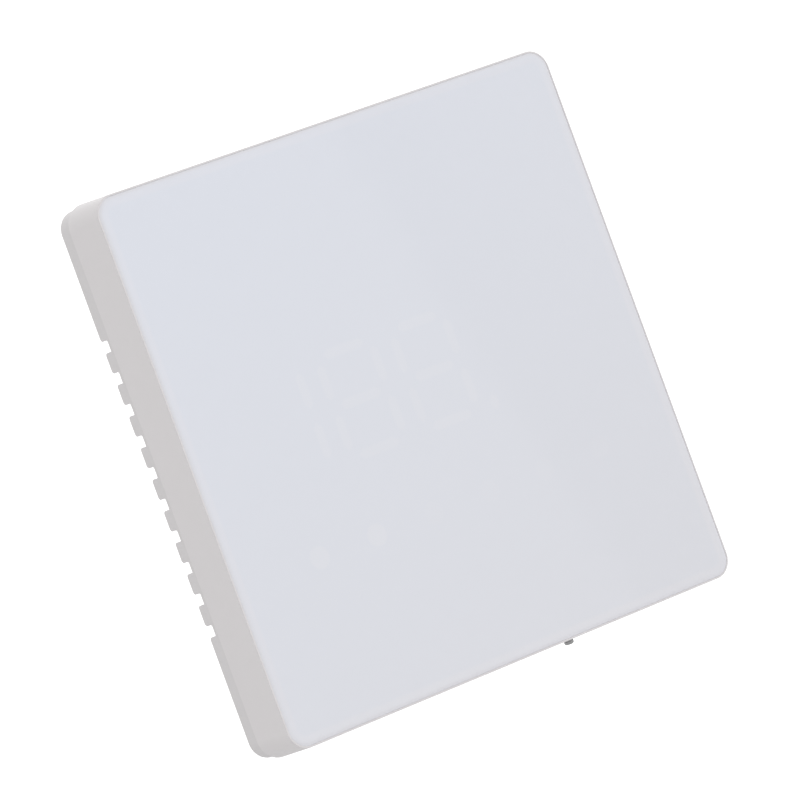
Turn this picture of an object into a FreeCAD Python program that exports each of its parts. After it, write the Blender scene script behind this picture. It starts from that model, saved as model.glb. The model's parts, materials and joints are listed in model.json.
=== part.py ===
"""Square wall thermostat with a hidden display, as a parametric assembly in millimetres.

The origin is the centre of the face that lies on the wall. X points right, Z points up and
the front looks along -Y. "back" is the distance of a piece's rear face from the wall, and
"thickness" is how far the piece reaches from there towards the front.

The wall plate carries the terminals. The front unit hangs on it by two hooks at the top, swings
shut about its upper rear edge, and is locked by a set screw in its lower wall.
"""
import FreeCAD, Part
import math
import os

import Sketcher
from FreeCAD import Placement, Rotation, Vector

SIZES = (
    # Outer shape
    ("plate_width", 85.2),
    ("plate_corner", 3.1),
    ("plate_depth", 2.9),
    ("joint_gap", 0.15),
    ("shell_width", 86.0),
    ("shell_corner", 3.5),
    ("shell_front_width", 85.4),
    ("total_depth", 11.2),
    ("shell_edge_radius", 0.1),
    # Wall plate
    ("skirt_wall", 1.4),
    ("floor_thickness", 1.1),
    ("vent_count", 10),
    ("vent_pitch", 4.92),
    ("vent_width", 1.72),
    ("vent_depth", 1.75),
    ("vent_lip_radius", 0.5),
    ("vent_corner_radius", 0.3),
    ("fixing_spacing", 60.0),
    ("fixing_slot_length", 8.0),
    ("fixing_slot_width", 4.2),
    ("fixing_seat_thickness", 1.2),
    ("fixing_seat_length", 14.0),
    ("fixing_seat_height", 9.6),
    ("fixing_seat_wall", 1.2),
    ("cable_width", 28.0),
    ("cable_height", 20.0),
    ("cable_corner", 3.0),
    ("cable_z", -5.0),
    ("air_slot_count", 4),
    ("air_slot_length", 12.0),
    ("air_slot_width", 1.6),
    ("air_slot_pitch", 3.4),
    ("plate_air_slot_x", -29.0),
    ("plate_air_slot_z", -16.0),
    ("rib_width", 0.8),
    ("rib_height", 2.4),
    ("rib_depth", 0.9),
    ("rib_z", -2.46),
    # Lock at the bottom edge
    ("lock_x", 13.9),
    ("lock_back", 4.75),
    ("lock_screw_radius", 0.78),
    ("lock_screw_length", 4.2),
    ("lock_screw_showing", 0.8),
    ("lock_screw_chamfer", 0.3),
    ("lock_point_radius", 0.5),
    ("lock_point_length", 1.8),
    ("lock_socket_width", 0.7),
    ("lock_socket_depth", 0.9),
    ("lock_hole_radius", 0.92),
    ("lock_insert_radius", 1.3),
    ("lock_insert_length", 2.6),
    ("lock_insert_clearance", 0.02),
    ("lock_thread_clearance", 0.05),
    ("lock_boss_width", 7.0),
    ("lock_boss_height", 3.4),
    ("lock_boss_root", 0.2),
    ("lock_tab_width", 6.0),
    ("lock_tab_thickness", 1.2),
    ("lock_tab_bottom", -37.6),
    ("lock_tab_reach", 6.1),
    ("lock_tab_hole_radius", 0.65),
    # Hooks at the top edge
    ("hook_x", 20.0),
    ("hook_width", 7.0),
    ("hook_stem_z", 39.15),
    ("hook_stem_height", 0.9),
    ("hook_lip_height", 2.0),
    ("hook_back", 0.25),
    ("hook_lip_thickness", 0.75),
    ("hook_slot_clearance", 0.5),
    ("hook_slot_drop", 0.2),
    # Front housing
    ("shell_wall", 1.6),
    ("ledge_back", 7.8),
    ("ledge_front", 9.0),
    ("window_width", 66.0),
    ("window_height", 44.0),
    ("window_corner", 2.0),
    ("window_z", -4.0),
    ("post_x", 36.0),
    ("post_z_upper", 34.0),
    ("post_z_lower", -31.5),
    ("post_radius", 2.4),
    ("post_hole_depth", 1.4),
    # Front panel and its films
    ("panel_width", 84.74),
    ("panel_corner", 2.9),
    ("panel_gap", 0.03),
    ("panel_edge_radius", 0.1),
    ("panel_back", 9.2),
    ("tape_width", 84.0),
    ("tape_corner", 2.5),
    ("foil_thickness", 0.15),
    ("foil_margin", 0.7),
    ("foil_tail_width", 8.0),
    ("foil_tail_z", 16.0),
    ("foil_connector_width", 10.0),
    ("foil_connector_height", 2.6),
    ("foil_connector_thickness", 1.0),
    ("diffuser_thickness", 0.2),
    # Display
    ("reflector_width", 62.0),
    ("reflector_height", 36.0),
    ("digit_pitch", 14.0),
    ("digit_half_width", 5.0),
    ("digit_step", 7.8),
    ("digit_x", -3.5),
    ("digit_z", 2.2),
    ("segment_length", 5.6),
    ("segment_width", 1.4),
    ("decimal_x", 11.8),
    ("decimal_z", -5.4),
    ("decimal_radius", 0.9),
    ("key_count", 6),
    ("key_pitch", 10.8),
    ("key_z", -17.5),
    ("key_well", 4.0),
    ("led_length", 1.6),
    ("led_width", 0.8),
    ("led_height", 0.6),
    # Main board
    ("board_width", 78.0),
    ("board_height", 73.6),
    ("board_corner", 2.0),
    ("board_z", 1.2),
    ("board_back", 6.2),
    ("board_thickness", 1.0),
    ("board_hole_clearance", 0.2),
    ("sensor_slot_length", 9.0),
    ("sensor_slot_width", 1.2),
    ("sensor_finger_height", 6.0),
    ("sensor_finger_z", -10.0),
    ("pad_thickness", 0.05),
    ("pad_margin", 0.3),
    # Back cover
    ("cover_width", 82.5),
    ("cover_corner", 1.8),
    ("cover_back", 3.2),
    ("cover_thickness", 1.0),
    ("cover_window_width", 26.0),
    ("cover_window_height", 13.0),
    ("cover_notch_clearance", 0.8),
    ("cover_notch_side", 0.2),
    ("cover_air_slot_x", -33.0),
    ("cover_air_slot_z", -12.6),
    ("cover_tube_radius", 2.2),
    ("cover_screw_radius", 0.9),
    ("cover_screw_clearance", 0.05),
    ("cover_screw_head_radius", 1.9),
    ("cover_screw_length", 4.9),
    ("cover_cross_length", 1.8),
    ("cover_cross_width", 0.4),
    ("cover_cross_depth", 0.5),
    # Terminal block on the wall plate
    ("terminal_count", 4),
    ("terminal_pitch", 5.08),
    ("terminal_width", 22.0),
    ("terminal_height", 9.0),
    ("terminal_z", 12.5),
    ("terminal_back", 0.4),
    ("terminal_depth", 4.8),
    ("terminal_ear", 1.2),
    ("terminal_ear_thickness", 0.8),
    ("terminal_ear_height", 7.0),
    ("terminal_seat_clearance", 0.1),
    ("terminal_floor", 0.8),
    ("terminal_well_width", 3.8),
    ("terminal_well_height", 3.6),
    ("terminal_well_z", 14.4),
    ("wire_entry_width", 2.8),
    ("wire_entry_depth", 1.6),
    ("wire_entry_back", 1.3),
    ("wire_entry_z", 10.5),
    ("clamp_wall", 0.4),
    ("clamp_thickness", 2.4),
    ("clamp_clearance", 0.1),
    ("clamp_screw_radius", 1.0),
    ("clamp_screw_length", 1.7),
    ("clamp_thread_clearance", 0.05),
    ("clamp_head_radius", 1.35),
    ("clamp_head_thickness", 1.0),
    ("clamp_head_inset", 0.1),
    ("clamp_slot_width", 0.4),
    ("clamp_slot_depth", 0.5),
    ("spring_width", 2.0),
    ("spring_thickness", 0.2),
    ("spring_rise", 0.8),
    ("spring_length", 3.6),
    ("spring_crown_length", 2.5),
    ("spring_z", 9.9),
    # Reset switch
    ("switch_x", -22.0),
    ("switch_z", -24.0),
    ("switch_width", 4.5),
    ("switch_thickness", 1.0),
    ("switch_bore_radius", 1.1),
    ("switch_bore_depth", 0.9),
    ("plunger_radius", 1.04),
    ("plunger_length", 1.2),
    ("plunger_showing", 0.6),
)

# Components on the rear of the main board: name, width, height, thickness, x, z
CHIPS = (
    ("microcontroller", 9.0, 9.0, 0.9, -20.0, -9.0),
    ("touch_controller", 5.0, 5.0, 0.8, 16.0, -17.0),
    ("led_driver", 6.2, 7.8, 1.2, 27.0, -3.0),
    ("bus_transceiver", 3.9, 4.9, 1.4, 20.0, 8.0),
    ("voltage_regulator", 6.5, 3.5, 1.6, -22.0, 10.0),
    ("power_inductor", 5.0, 5.0, 1.7, -31.0, 19.0),
    ("quartz_crystal", 3.2, 2.5, 0.8, -20.0, -17.5),
    ("temperature_sensor", 2.5, 2.5, 0.9, -36.6, -10.0),
)

# Small two-pole components, as x and z of each
CAPACITOR_PLACES = (
    (-13.0, -6.0), (-13.0, -9.0), (-13.0, -12.0), (-27.0, -6.0), (-27.0, -12.0),
    (12.0, -12.5), (16.0, -12.5), (22.0, -1.0), (22.0, -5.0), (14.5, 10.5),
    (-16.0, 12.0), (-16.0, 8.5), (-30.0, 13.0), (-25.5, 20.5), (-25.5, 17.5),
)
RESISTOR_PLACES = (
    (12.0, -20.0), (14.0, -22.0), (16.5, -22.0), (19.0, -22.0), (21.0, -20.0),
    (32.0, -6.0), (32.0, -3.0), (32.0, 0.0), (24.5, 8.0), (24.5, 11.0),
)
CAPACITOR_SIZE = ("capacitor", 2.0, 1.25, 1.0)
RESISTOR_SIZE = ("resistor", 1.6, 0.8, 0.45)

# Lit strokes of one digit, as multiples of half the digit's width and of the step between bars,
# and whether the stroke stands upright
UPPER_RIGHT, LOWER_RIGHT = (1, 0.5, True), (1, -0.5, True)
FULL_DIGIT = (
    (0, 1, False), (0, 0, False), (0, -1, False),
    (-1, 0.5, True), (-1, -0.5, True), UPPER_RIGHT, LOWER_RIGHT,
)
DIGITS = ((-1.5, (UPPER_RIGHT, LOWER_RIGHT)), (-0.5, FULL_DIGIT), (0.5, FULL_DIGIT))

# Derived sizes, as expressions over the sheet
SHELL_BACK = "(Sizes.plate_depth + Sizes.joint_gap)"
SHELL_DEPTH = f"(Sizes.total_depth - {SHELL_BACK})"
FLOOR_BACK = "(Sizes.plate_depth - Sizes.floor_thickness)"
BOARD_FRONT = "(Sizes.board_back + Sizes.board_thickness)"
COVER_FRONT = "(Sizes.cover_back + Sizes.cover_thickness)"
FOIL_BACK = "(Sizes.panel_back - Sizes.foil_thickness)"
DIFFUSER_BACK = f"({FOIL_BACK} - Sizes.diffuser_thickness)"
REFLECTOR_DEPTH = f"({DIFFUSER_BACK} - {BOARD_FRONT})"
SHELL_INNER_BOTTOM = "(Sizes.shell_wall - Sizes.shell_width / 2)"
LOCK_BOSS_TOP = f"({SHELL_INNER_BOTTOM} + Sizes.lock_boss_height)"
LOCK_SCREW_BOTTOM = "(0 - Sizes.shell_width / 2 - Sizes.lock_screw_showing)"
LOCK_INSERT_BOTTOM = f"({LOCK_BOSS_TOP} - Sizes.lock_insert_length)"

# How far a cutting tool reaches past the piece that it cuts
SPARE = 1

doc = FreeCAD.newDocument("Thermostat")
sheet = doc.addObject("Spreadsheet::Sheet", "Sizes")
sub_parts = []


def fill_sheet():
    """Write every driving dimension to the sheet, one row each, with its name as the alias."""
    rows = list(SIZES)
    for name, *values in CHIPS:
        rows += [(f"{name}_{what}", value)
                 for what, value in zip(("width", "height", "thickness", "x", "z"), values)]
    for name, *values in (CAPACITOR_SIZE, RESISTOR_SIZE):
        rows += [(f"{name}_{what}", value)
                 for what, value in zip(("length", "width", "thickness"), values)]
    for row, (name, value) in enumerate(rows, start=1):
        sheet.set(f"A{row}", name)
        sheet.set(f"B{row}", str(value))
        sheet.setAlias(f"B{row}", name)
    doc.recompute()


def keep(piece, label):
    """Name a finished piece and put it on the list of sub-parts."""
    piece.Label = label
    sub_parts.append(piece)
    return piece


# ---------------------------------------------------------------- plain solids and booleans

def bind_place(piece, x, y, z):
    for axis, expression in zip("xyz", (x, y, z)):
        piece.setExpression(f"Placement.Base.{axis}", expression)


def block(name, width, thickness, height, x, back, z):
    """Box centred on x and z, whose rear face is `back` from the wall."""
    box = doc.addObject("Part::Box", name)
    box.setExpression("Length", width)
    box.setExpression("Width", thickness)
    box.setExpression("Height", height)
    bind_place(box, f"{x} - ({width}) / 2", f"0 - ({back}) - ({thickness})", f"{z} - ({height}) / 2")
    return box


def rod(name, radius, length, x, back, z):
    """Cylinder along Y, from `back` towards the front."""
    cylinder = doc.addObject("Part::Cylinder", name)
    cylinder.Placement = Placement(Vector(), Rotation(Vector(1, 0, 0), 90))
    cylinder.setExpression("Radius", radius)
    cylinder.setExpression("Height", length)
    bind_place(cylinder, x, f"0 - ({back})", z)
    return cylinder


def upright_rod(name, radius, length, x, back, bottom):
    """Cylinder along Z, whose axis is `back` from the wall."""
    cylinder = doc.addObject("Part::Cylinder", name)
    cylinder.setExpression("Radius", radius)
    cylinder.setExpression("Height", length)
    bind_place(cylinder, x, f"0 - ({back})", bottom)
    return cylinder


def fuse(name, pieces):
    union = doc.addObject("Part::MultiFuse", name)
    union.Shapes = pieces
    return union


def cut(name, base, tools):
    """Base with one or more tools taken away."""
    result = doc.addObject("Part::Cut", name)
    result.Base = base
    result.Tool = tools[0] if len(tools) == 1 else group(f"{name}_tools", tools)
    return result


def group(name, pieces):
    """Separate solids in one object."""
    compound = doc.addObject("Part::Compound", name)
    compound.Links = pieces
    return compound


# ---------------------------------------------------------------- bodies and sketches

def new_body(name):
    return doc.addObject("PartDesign::Body", name)


def new_sketch(body, name, back, x="0", z="0"):
    """Sketch facing the front, its origin at x, z and `back` from the wall."""
    sketch = body.newObject("Sketcher::SketchObject", name)
    plane = next(item for item in body.Origin.OriginFeatures if item.Role == "XZ_Plane")
    sketch.AttachmentSupport = [(plane, "")]
    sketch.MapMode = "FlatFace"
    sketch.setExpression("AttachmentOffset.Base.x", x)
    sketch.setExpression("AttachmentOffset.Base.y", z)
    sketch.setExpression("AttachmentOffset.Base.z", back)
    return sketch


def dimension(sketch, name, constraint, expression):
    """Add a named dimension and bind it to an expression."""
    index = sketch.addConstraint(constraint)
    sketch.renameConstraint(index, name)
    sketch.setExpression(f"Constraints.{name}", expression)


def line(start, end):
    return Part.LineSegment(Vector(*start, 0), Vector(*end, 0))


def quarter(centre, radius, first_angle):
    """Quarter circle, anticlockwise from the first angle in degrees."""
    circle = Part.Circle(Vector(*centre, 0), Vector(0, 0, 1), radius)
    start = math.radians(first_angle)
    return Part.ArcOfCircle(circle, start, start + math.pi / 2)


def rounded_outline(body, name, width, height, corner, back, x="0", z="0"):
    """Sketch of a rectangle with rounded corners, centred on x and z."""
    sketch = new_sketch(body, name, back, x, z)
    half, inner = 10, 8
    radius = half - inner
    sketch.addGeometry([
        line((-inner, -half), (inner, -half)), quarter((inner, -inner), radius, 270),
        line((half, -inner), (half, inner)), quarter((inner, inner), radius, 0),
        line((inner, half), (-inner, half)), quarter((-inner, inner), radius, 90),
        line((-half, inner), (-half, -inner)), quarter((-inner, -inner), radius, 180),
    ], False)
    for index in range(8):
        sketch.addConstraint(Sketcher.Constraint("Tangent", index, 2, (index + 1) % 8, 1))
    for index in (0, 4):
        sketch.addConstraint(Sketcher.Constraint("Horizontal", index))
    for index in (2, 6):
        sketch.addConstraint(Sketcher.Constraint("Vertical", index))
    for index in (3, 5, 7):
        sketch.addConstraint(Sketcher.Constraint("Equal", 1, index))
    sketch.addConstraint(Sketcher.Constraint("Symmetric", 0, 1, 4, 1, -1, 1))
    dimension(sketch, "width", Sketcher.Constraint("DistanceX", 6, 1, 2, 1, 2 * half), width)
    dimension(sketch, "height", Sketcher.Constraint("DistanceY", 0, 1, 4, 1, 2 * half), height)
    dimension(sketch, "corner", Sketcher.Constraint("Radius", 1, radius), corner)
    return sketch


def rectangle(body, name, width, height, back, x="0", z="0"):
    """Sketch of a plain rectangle, centred on x and z."""
    sketch = new_sketch(body, name, back, x, z)
    corners = ((-5, -5), (5, -5), (5, 5), (-5, 5))
    sketch.addGeometry([line(corners[i], corners[(i + 1) % 4]) for i in range(4)], False)
    for index in range(4):
        sketch.addConstraint(Sketcher.Constraint("Coincident", index, 2, (index + 1) % 4, 1))
        direction = "Vertical" if index % 2 else "Horizontal"
        sketch.addConstraint(Sketcher.Constraint(direction, index))
    sketch.addConstraint(Sketcher.Constraint("Symmetric", 0, 1, 2, 1, -1, 1))
    dimension(sketch, "width", Sketcher.Constraint("DistanceX", 0, 1, 0, 2, 10), width)
    dimension(sketch, "height", Sketcher.Constraint("DistanceY", 1, 1, 1, 2, 10), height)
    return sketch


def circle(body, name, radius, back, x="0", z="0"):
    """Sketch of a circle about x and z."""
    sketch = new_sketch(body, name, back, x, z)
    sketch.addGeometry(Part.Circle(Vector(), Vector(0, 0, 1), 2), False)
    sketch.addConstraint(Sketcher.Constraint("Coincident", 0, 3, -1, 1))
    dimension(sketch, "radius", Sketcher.Constraint("Radius", 0, 2), radius)
    return sketch


def long_slot(body, name, length, width, back, x="0", z="0"):
    """Sketch of a slot with round ends along X, centred on x and z."""
    sketch = new_sketch(body, name, back, x, z)
    ends = [Part.Circle(Vector(side * 3, 0, 0), Vector(0, 0, 1), 2) for side in (1, -1)]
    sketch.addGeometry([
        line((-3, -2), (3, -2)), Part.ArcOfCircle(ends[0], -math.pi / 2, math.pi / 2),
        line((3, 2), (-3, 2)), Part.ArcOfCircle(ends[1], math.pi / 2, 3 * math.pi / 2),
    ], False)
    for index in range(4):
        sketch.addConstraint(Sketcher.Constraint("Tangent", index, 2, (index + 1) % 4, 1))
    sketch.addConstraint(Sketcher.Constraint("Horizontal", 0))
    sketch.addConstraint(Sketcher.Constraint("Equal", 1, 3))
    sketch.addConstraint(Sketcher.Constraint("Symmetric", 1, 3, 3, 3, -1, 1))
    dimension(sketch, "radius", Sketcher.Constraint("Radius", 1, 2), f"({width}) / 2")
    dimension(sketch, "straight", Sketcher.Constraint("DistanceX", 0, 1, 0, 2, 6), f"({length}) - ({width})")
    return sketch


def pad(body, sketch, length, taper=None):
    """Material from the sketch towards the front."""
    feature = body.newObject("PartDesign::Pad", f"{sketch.Name}_pad")
    feature.Profile = sketch
    feature.setExpression("Length", length)
    if taper:
        feature.setExpression("TaperAngle", taper)
    return feature


def pocket(body, sketch, length):
    """Material taken away from the sketch towards the front."""
    feature = body.newObject("PartDesign::Pocket", f"{sketch.Name}_pocket")
    feature.Profile = sketch
    feature.Reversed = True
    feature.setExpression("Length", length)
    return feature


def round_front_edges(body, radius):
    """Round the outer edge of the front face."""
    doc.recompute()
    shape = body.Tip.Shape
    front = shape.BoundBox.YMin
    outer = max((face for face in shape.Faces if face.BoundBox.YMax < front + 0.01),
                key=lambda face: face.BoundBox.DiagonalLength).OuterWire
    names = [f"Edge{number}" for number, edge in enumerate(shape.Edges, start=1)
             if any(edge.isSame(other) for other in outer.Edges)]
    base = body.Tip
    fillet = body.newObject("PartDesign::Fillet", f"{body.Name}_edge")
    fillet.Base = (base, names)
    fillet.setExpression("Radius", radius)


def centred(count):
    """Steps of a row of equal pitch about its middle, such as -1.5, -0.5, 0.5 and 1.5 for four."""
    return [index - (count - 1) / 2 for index in range(int(count))]


def air_slots(body, piece, back, depth):
    """Row of slots that lets the room's air reach the sensor through the wall plate or back cover."""
    for number, step in enumerate(centred(sheet.air_slot_count), start=1):
        slot = long_slot(body, f"{piece}_air_slot_{number}", "Sizes.air_slot_length", "Sizes.air_slot_width",
                         back, f"Sizes.{piece}_air_slot_x",
                         f"Sizes.{piece}_air_slot_z + ({step}) * Sizes.air_slot_pitch")
        pocket(body, slot, depth)


# ---------------------------------------------------------------- wall plate

def vent_outline(body):
    """Comb notch seen from the side: open to the wall, with rounded lips and a rounded upper
    corner, in the top place."""
    sketch = body.newObject("Sketcher::SketchObject", f"{body.Name}_outline")
    plane = next(item for item in body.Origin.OriginFeatures if item.Role == "YZ_Plane")
    sketch.AttachmentSupport = [(plane, "")]
    sketch.MapMode = "FlatFace"
    sketch.setExpression("AttachmentOffset.Base.y", "(Sizes.vent_count - 1) * Sizes.vent_pitch / 2")
    lip, corner, half, deep = 0.5, 0.4, 1, 2
    sketch.addGeometry([
        line((0, half + lip), (0, -half - lip)), quarter((-lip, -half - lip), lip, 0),
        line((-lip, -half), (-deep, -half)), line((-deep, -half), (-deep, half - corner)),
        quarter((corner - deep, half - corner), corner, 90),
        line((corner - deep, half), (-lip, half)), quarter((-lip, half + lip), lip, 270),
    ], False)
    for first, end, second, start in ((0, 2, 1, 1), (1, 2, 2, 1), (3, 2, 4, 2), (4, 1, 5, 1), (5, 2, 6, 1),
                                      (6, 2, 0, 1)):
        sketch.addConstraint(Sketcher.Constraint("Tangent", first, end, second, start))
    sketch.addConstraint(Sketcher.Constraint("Coincident", 2, 2, 3, 1))
    for index, direction in ((2, "Horizontal"), (3, "Vertical"), (5, "Horizontal")):
        sketch.addConstraint(Sketcher.Constraint(direction, index))
    sketch.addConstraint(Sketcher.Constraint("Equal", 1, 6))
    sketch.addConstraint(Sketcher.Constraint("Symmetric", 0, 1, 0, 2, -1))
    sketch.addConstraint(Sketcher.Constraint("PointOnObject", 0, 1, -2))
    dimension(sketch, "lip", Sketcher.Constraint("Radius", 1, lip), "Sizes.vent_lip_radius")
    dimension(sketch, "corner", Sketcher.Constraint("Radius", 4, corner), "Sizes.vent_corner_radius")
    dimension(sketch, "across", Sketcher.Constraint("DistanceY", 2, 1, 5, 2, 2 * half), "Sizes.vent_width")
    dimension(sketch, "deep", Sketcher.Constraint("DistanceX", 3, 1, 0, 1, deep), "Sizes.vent_depth")
    return sketch


def vent_row(name, turn):
    """Notches through two opposite skirts, turned about Y by an angle in degrees."""
    body = new_body(name)
    sketch = vent_outline(body)
    bar = body.newObject("PartDesign::Pad", f"{name}_bar")
    bar.Profile = sketch
    bar.SideType = "Symmetric"
    bar.setExpression("Length", f"Sizes.plate_width + 2 * {SPARE}")
    row = body.newObject("PartDesign::LinearPattern", f"{name}_row")
    row.Originals = [bar]
    row.Direction = (sketch, ["V_Axis"])
    row.Reversed = True
    row.setExpression("Length", "(Sizes.vent_count - 1) * Sizes.vent_pitch")
    row.setExpression("Occurrences", "Sizes.vent_count")
    body.Tip = row
    body.Placement = Placement(Vector(), Rotation(Vector(0, 1, 0), turn))
    inner = "(Sizes.plate_width - 2 * Sizes.skirt_wall - Sizes.skirt_wall / 2)"
    depth = f"Sizes.plate_depth + 2 * {SPARE}"
    middle = block(f"{name}Middle", inner, depth, inner, "0", f"0 - {SPARE}", "0")
    return cut(f"{name}Ends", body, [middle])


def make_wall_plate():
    body = new_body("WallPlate")
    pad(body, rounded_outline(body, "plate_outline", "Sizes.plate_width", "Sizes.plate_width",
                              "Sizes.plate_corner", "0"), "Sizes.plate_depth")
    inner = "Sizes.plate_width - 2 * Sizes.skirt_wall"
    pocket(body, rounded_outline(body, "plate_hollow", inner, inner,
                                 "Sizes.plate_corner - Sizes.skirt_wall", "0"), FLOOR_BACK)
    for side, sign in (("left", -1), ("right", 1)):
        x = f"{sign} * Sizes.fixing_spacing / 2"
        wall = "2 * Sizes.fixing_seat_wall"
        pad(body, rectangle(body, f"fixing_seat_{side}", f"Sizes.fixing_seat_length + {wall}",
                            f"Sizes.fixing_seat_height + {wall}", "0", x), "Sizes.plate_depth")
        pocket(body, rectangle(body, f"fixing_recess_{side}", "Sizes.fixing_seat_length",
                               "Sizes.fixing_seat_height", "Sizes.fixing_seat_thickness", x),
               "Sizes.plate_depth")
        pocket(body, long_slot(body, f"fixing_slot_{side}", "Sizes.fixing_slot_length",
                               "Sizes.fixing_slot_width", "0", x), "Sizes.plate_depth")
        spare = "2 * Sizes.hook_slot_clearance"
        pocket(body, rectangle(body, f"hook_slot_{side}", f"Sizes.hook_width + {spare}",
                               f"Sizes.hook_stem_height + {spare}", "0", f"{sign} * Sizes.hook_x",
                               "Sizes.hook_stem_z - Sizes.hook_slot_drop"), "Sizes.plate_depth")
    pocket(body, rounded_outline(body, "cable_hole", "Sizes.cable_width", "Sizes.cable_height",
                                 "Sizes.cable_corner", "0", "0", "Sizes.cable_z"), "Sizes.plate_depth")
    seat = "2 * Sizes.terminal_seat_clearance"
    pocket(body, rectangle(body, "terminal_seat", f"Sizes.terminal_width + {seat}",
                           f"Sizes.terminal_height + {seat}", "0", "0", "Sizes.terminal_z"),
           "Sizes.plate_depth")
    air_slots(body, "plate", "0", "Sizes.plate_depth")
    pad(body, rectangle(body, "vent_rib", "Sizes.rib_width", "Sizes.rib_height",
                        f"{FLOOR_BACK} - Sizes.rib_depth",
                        "(Sizes.rib_width - Sizes.plate_width) / 2 + Sizes.skirt_wall", "Sizes.rib_z"),
        "Sizes.rib_depth + Sizes.floor_thickness")
    pad(body, rectangle(body, "lock_tab", "Sizes.lock_tab_width", "Sizes.lock_tab_thickness", FLOOR_BACK,
                        "Sizes.lock_x", "Sizes.lock_tab_bottom + Sizes.lock_tab_thickness / 2"),
        f"Sizes.lock_tab_reach - {FLOOR_BACK}")
    hole = upright_rod("lock_tab_hole", "Sizes.lock_tab_hole_radius",
                       f"Sizes.lock_tab_thickness + 2 * {SPARE}", "Sizes.lock_x", "Sizes.lock_back",
                       f"Sizes.lock_tab_bottom - {SPARE}")
    vents = [vent_row("SideVents", 0), vent_row("EndVents", 90)]
    keep(cut("WallPlateDrilled", body, [hole, *vents]), "wall_plate")


# ---------------------------------------------------------------- terminal block on the wall plate

def terminal_places():
    return [f"({step}) * Sizes.terminal_pitch" for step in centred(sheet.terminal_count)]


def make_terminals():
    well_back = "(Sizes.terminal_back + Sizes.terminal_floor)"
    front = "(Sizes.terminal_back + Sizes.terminal_depth)"
    casing = block("TerminalCase", "Sizes.terminal_width", "Sizes.terminal_depth", "Sizes.terminal_height",
                   "0", "Sizes.terminal_back", "Sizes.terminal_z")
    ears = block("TerminalEars", "Sizes.terminal_width + 2 * Sizes.terminal_ear",
                 "Sizes.terminal_ear_thickness", "Sizes.terminal_ear_height", "0", "Sizes.plate_depth",
                 "Sizes.terminal_z")
    wells, cages, screws, springs = [], [], [], []
    for number, x in enumerate(terminal_places(), start=1):
        well_z = "Sizes.terminal_well_z"
        wells.append(block(f"TerminalWell{number}", "Sizes.terminal_well_width", "Sizes.terminal_depth",
                           "Sizes.terminal_well_height", x, well_back, well_z))
        wells.append(block(f"WireEntry{number}", "Sizes.wire_entry_width", "Sizes.wire_entry_depth",
                           "Sizes.terminal_height", x, "Sizes.wire_entry_back", "Sizes.wire_entry_z"))
        cages.append(clamp_cage(number, x, well_back, well_z))
        screws.append(clamp_screw(number, x, front, well_z))
        springs.append(contact_spring(number, x, front))
    body = cut("TerminalBlock", fuse("TerminalSolid", [casing, ears]), [fuse("TerminalWells", wells)])
    keep(body, "terminal_block")
    keep(group("TerminalCages", cages), "terminal_cages")
    keep(group("TerminalScrews", screws), "terminal_screws")
    keep(group("ContactSprings", springs), "contact_springs")


def clamp_cage(number, x, back, z):
    """Square metal sleeve that the wire end is pressed into."""
    outer_width = "(Sizes.terminal_well_width - Sizes.clamp_clearance)"
    outer_height = "(Sizes.terminal_well_height - Sizes.clamp_clearance)"
    walls = "2 * Sizes.clamp_wall"
    outer = block(f"CageOuter{number}", outer_width, "Sizes.clamp_thickness", outer_height, x, back, z)
    inner = block(f"CageInner{number}", f"{outer_width} - {walls}", f"Sizes.clamp_thickness - {walls}",
                  f"{outer_height} + 2 * {SPARE}", x, f"{back} + Sizes.clamp_wall", z)
    thread = rod(f"CageThread{number}", "Sizes.clamp_screw_radius + Sizes.clamp_thread_clearance",
                 "Sizes.clamp_thickness", x, f"{back} + Sizes.clamp_thickness / 2", z)
    return cut(f"Cage{number}", outer, [fuse(f"CageHollow{number}", [inner, thread])])


def clamp_screw(number, x, front, z):
    """Slotted clamp screw, its head just under the front of the block."""
    head_front = f"({front} - Sizes.clamp_head_inset)"
    head_back = f"({head_front} - Sizes.clamp_head_thickness)"
    head = rod(f"ClampHead{number}", "Sizes.clamp_head_radius", "Sizes.clamp_head_thickness", x, head_back, z)
    shank = rod(f"ClampShank{number}", "Sizes.clamp_screw_radius", "Sizes.clamp_screw_length", x,
                f"{head_back} - Sizes.clamp_screw_length", z)
    slot = block(f"ClampSlot{number}", "3 * Sizes.clamp_head_radius", f"Sizes.clamp_slot_depth + {SPARE}",
                 "Sizes.clamp_slot_width", x, f"{head_front} - Sizes.clamp_slot_depth", z)
    return cut(f"ClampScrew{number}", fuse(f"ClampSolid{number}", [head, shank]), [slot])


def contact_spring(number, x, front):
    """Leaf with a raised crown that meets its pad on the board."""
    foot = block(f"SpringFoot{number}", "Sizes.spring_width", "Sizes.spring_thickness", "Sizes.spring_length",
                 x, front, "Sizes.spring_z")
    riser = block(f"SpringRiser{number}", "Sizes.spring_width", "Sizes.spring_rise", "Sizes.spring_thickness",
                  x, front, "Sizes.spring_z - (Sizes.spring_length - Sizes.spring_thickness) / 2")
    crown = block(f"SpringCrown{number}", "Sizes.spring_width", "Sizes.spring_thickness",
                  "Sizes.spring_crown_length", x, f"{front} + Sizes.spring_rise - Sizes.spring_thickness",
                  "Sizes.spring_z - (Sizes.spring_length - Sizes.spring_crown_length) / 2")
    return fuse(f"Spring{number}", [foot, riser, crown])


# ---------------------------------------------------------------- front unit

def post_places():
    return [(f"{side} * Sizes.post_x", f"Sizes.post_z_{level}")
            for side in (-1, 1) for level in ("upper", "lower")]


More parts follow.
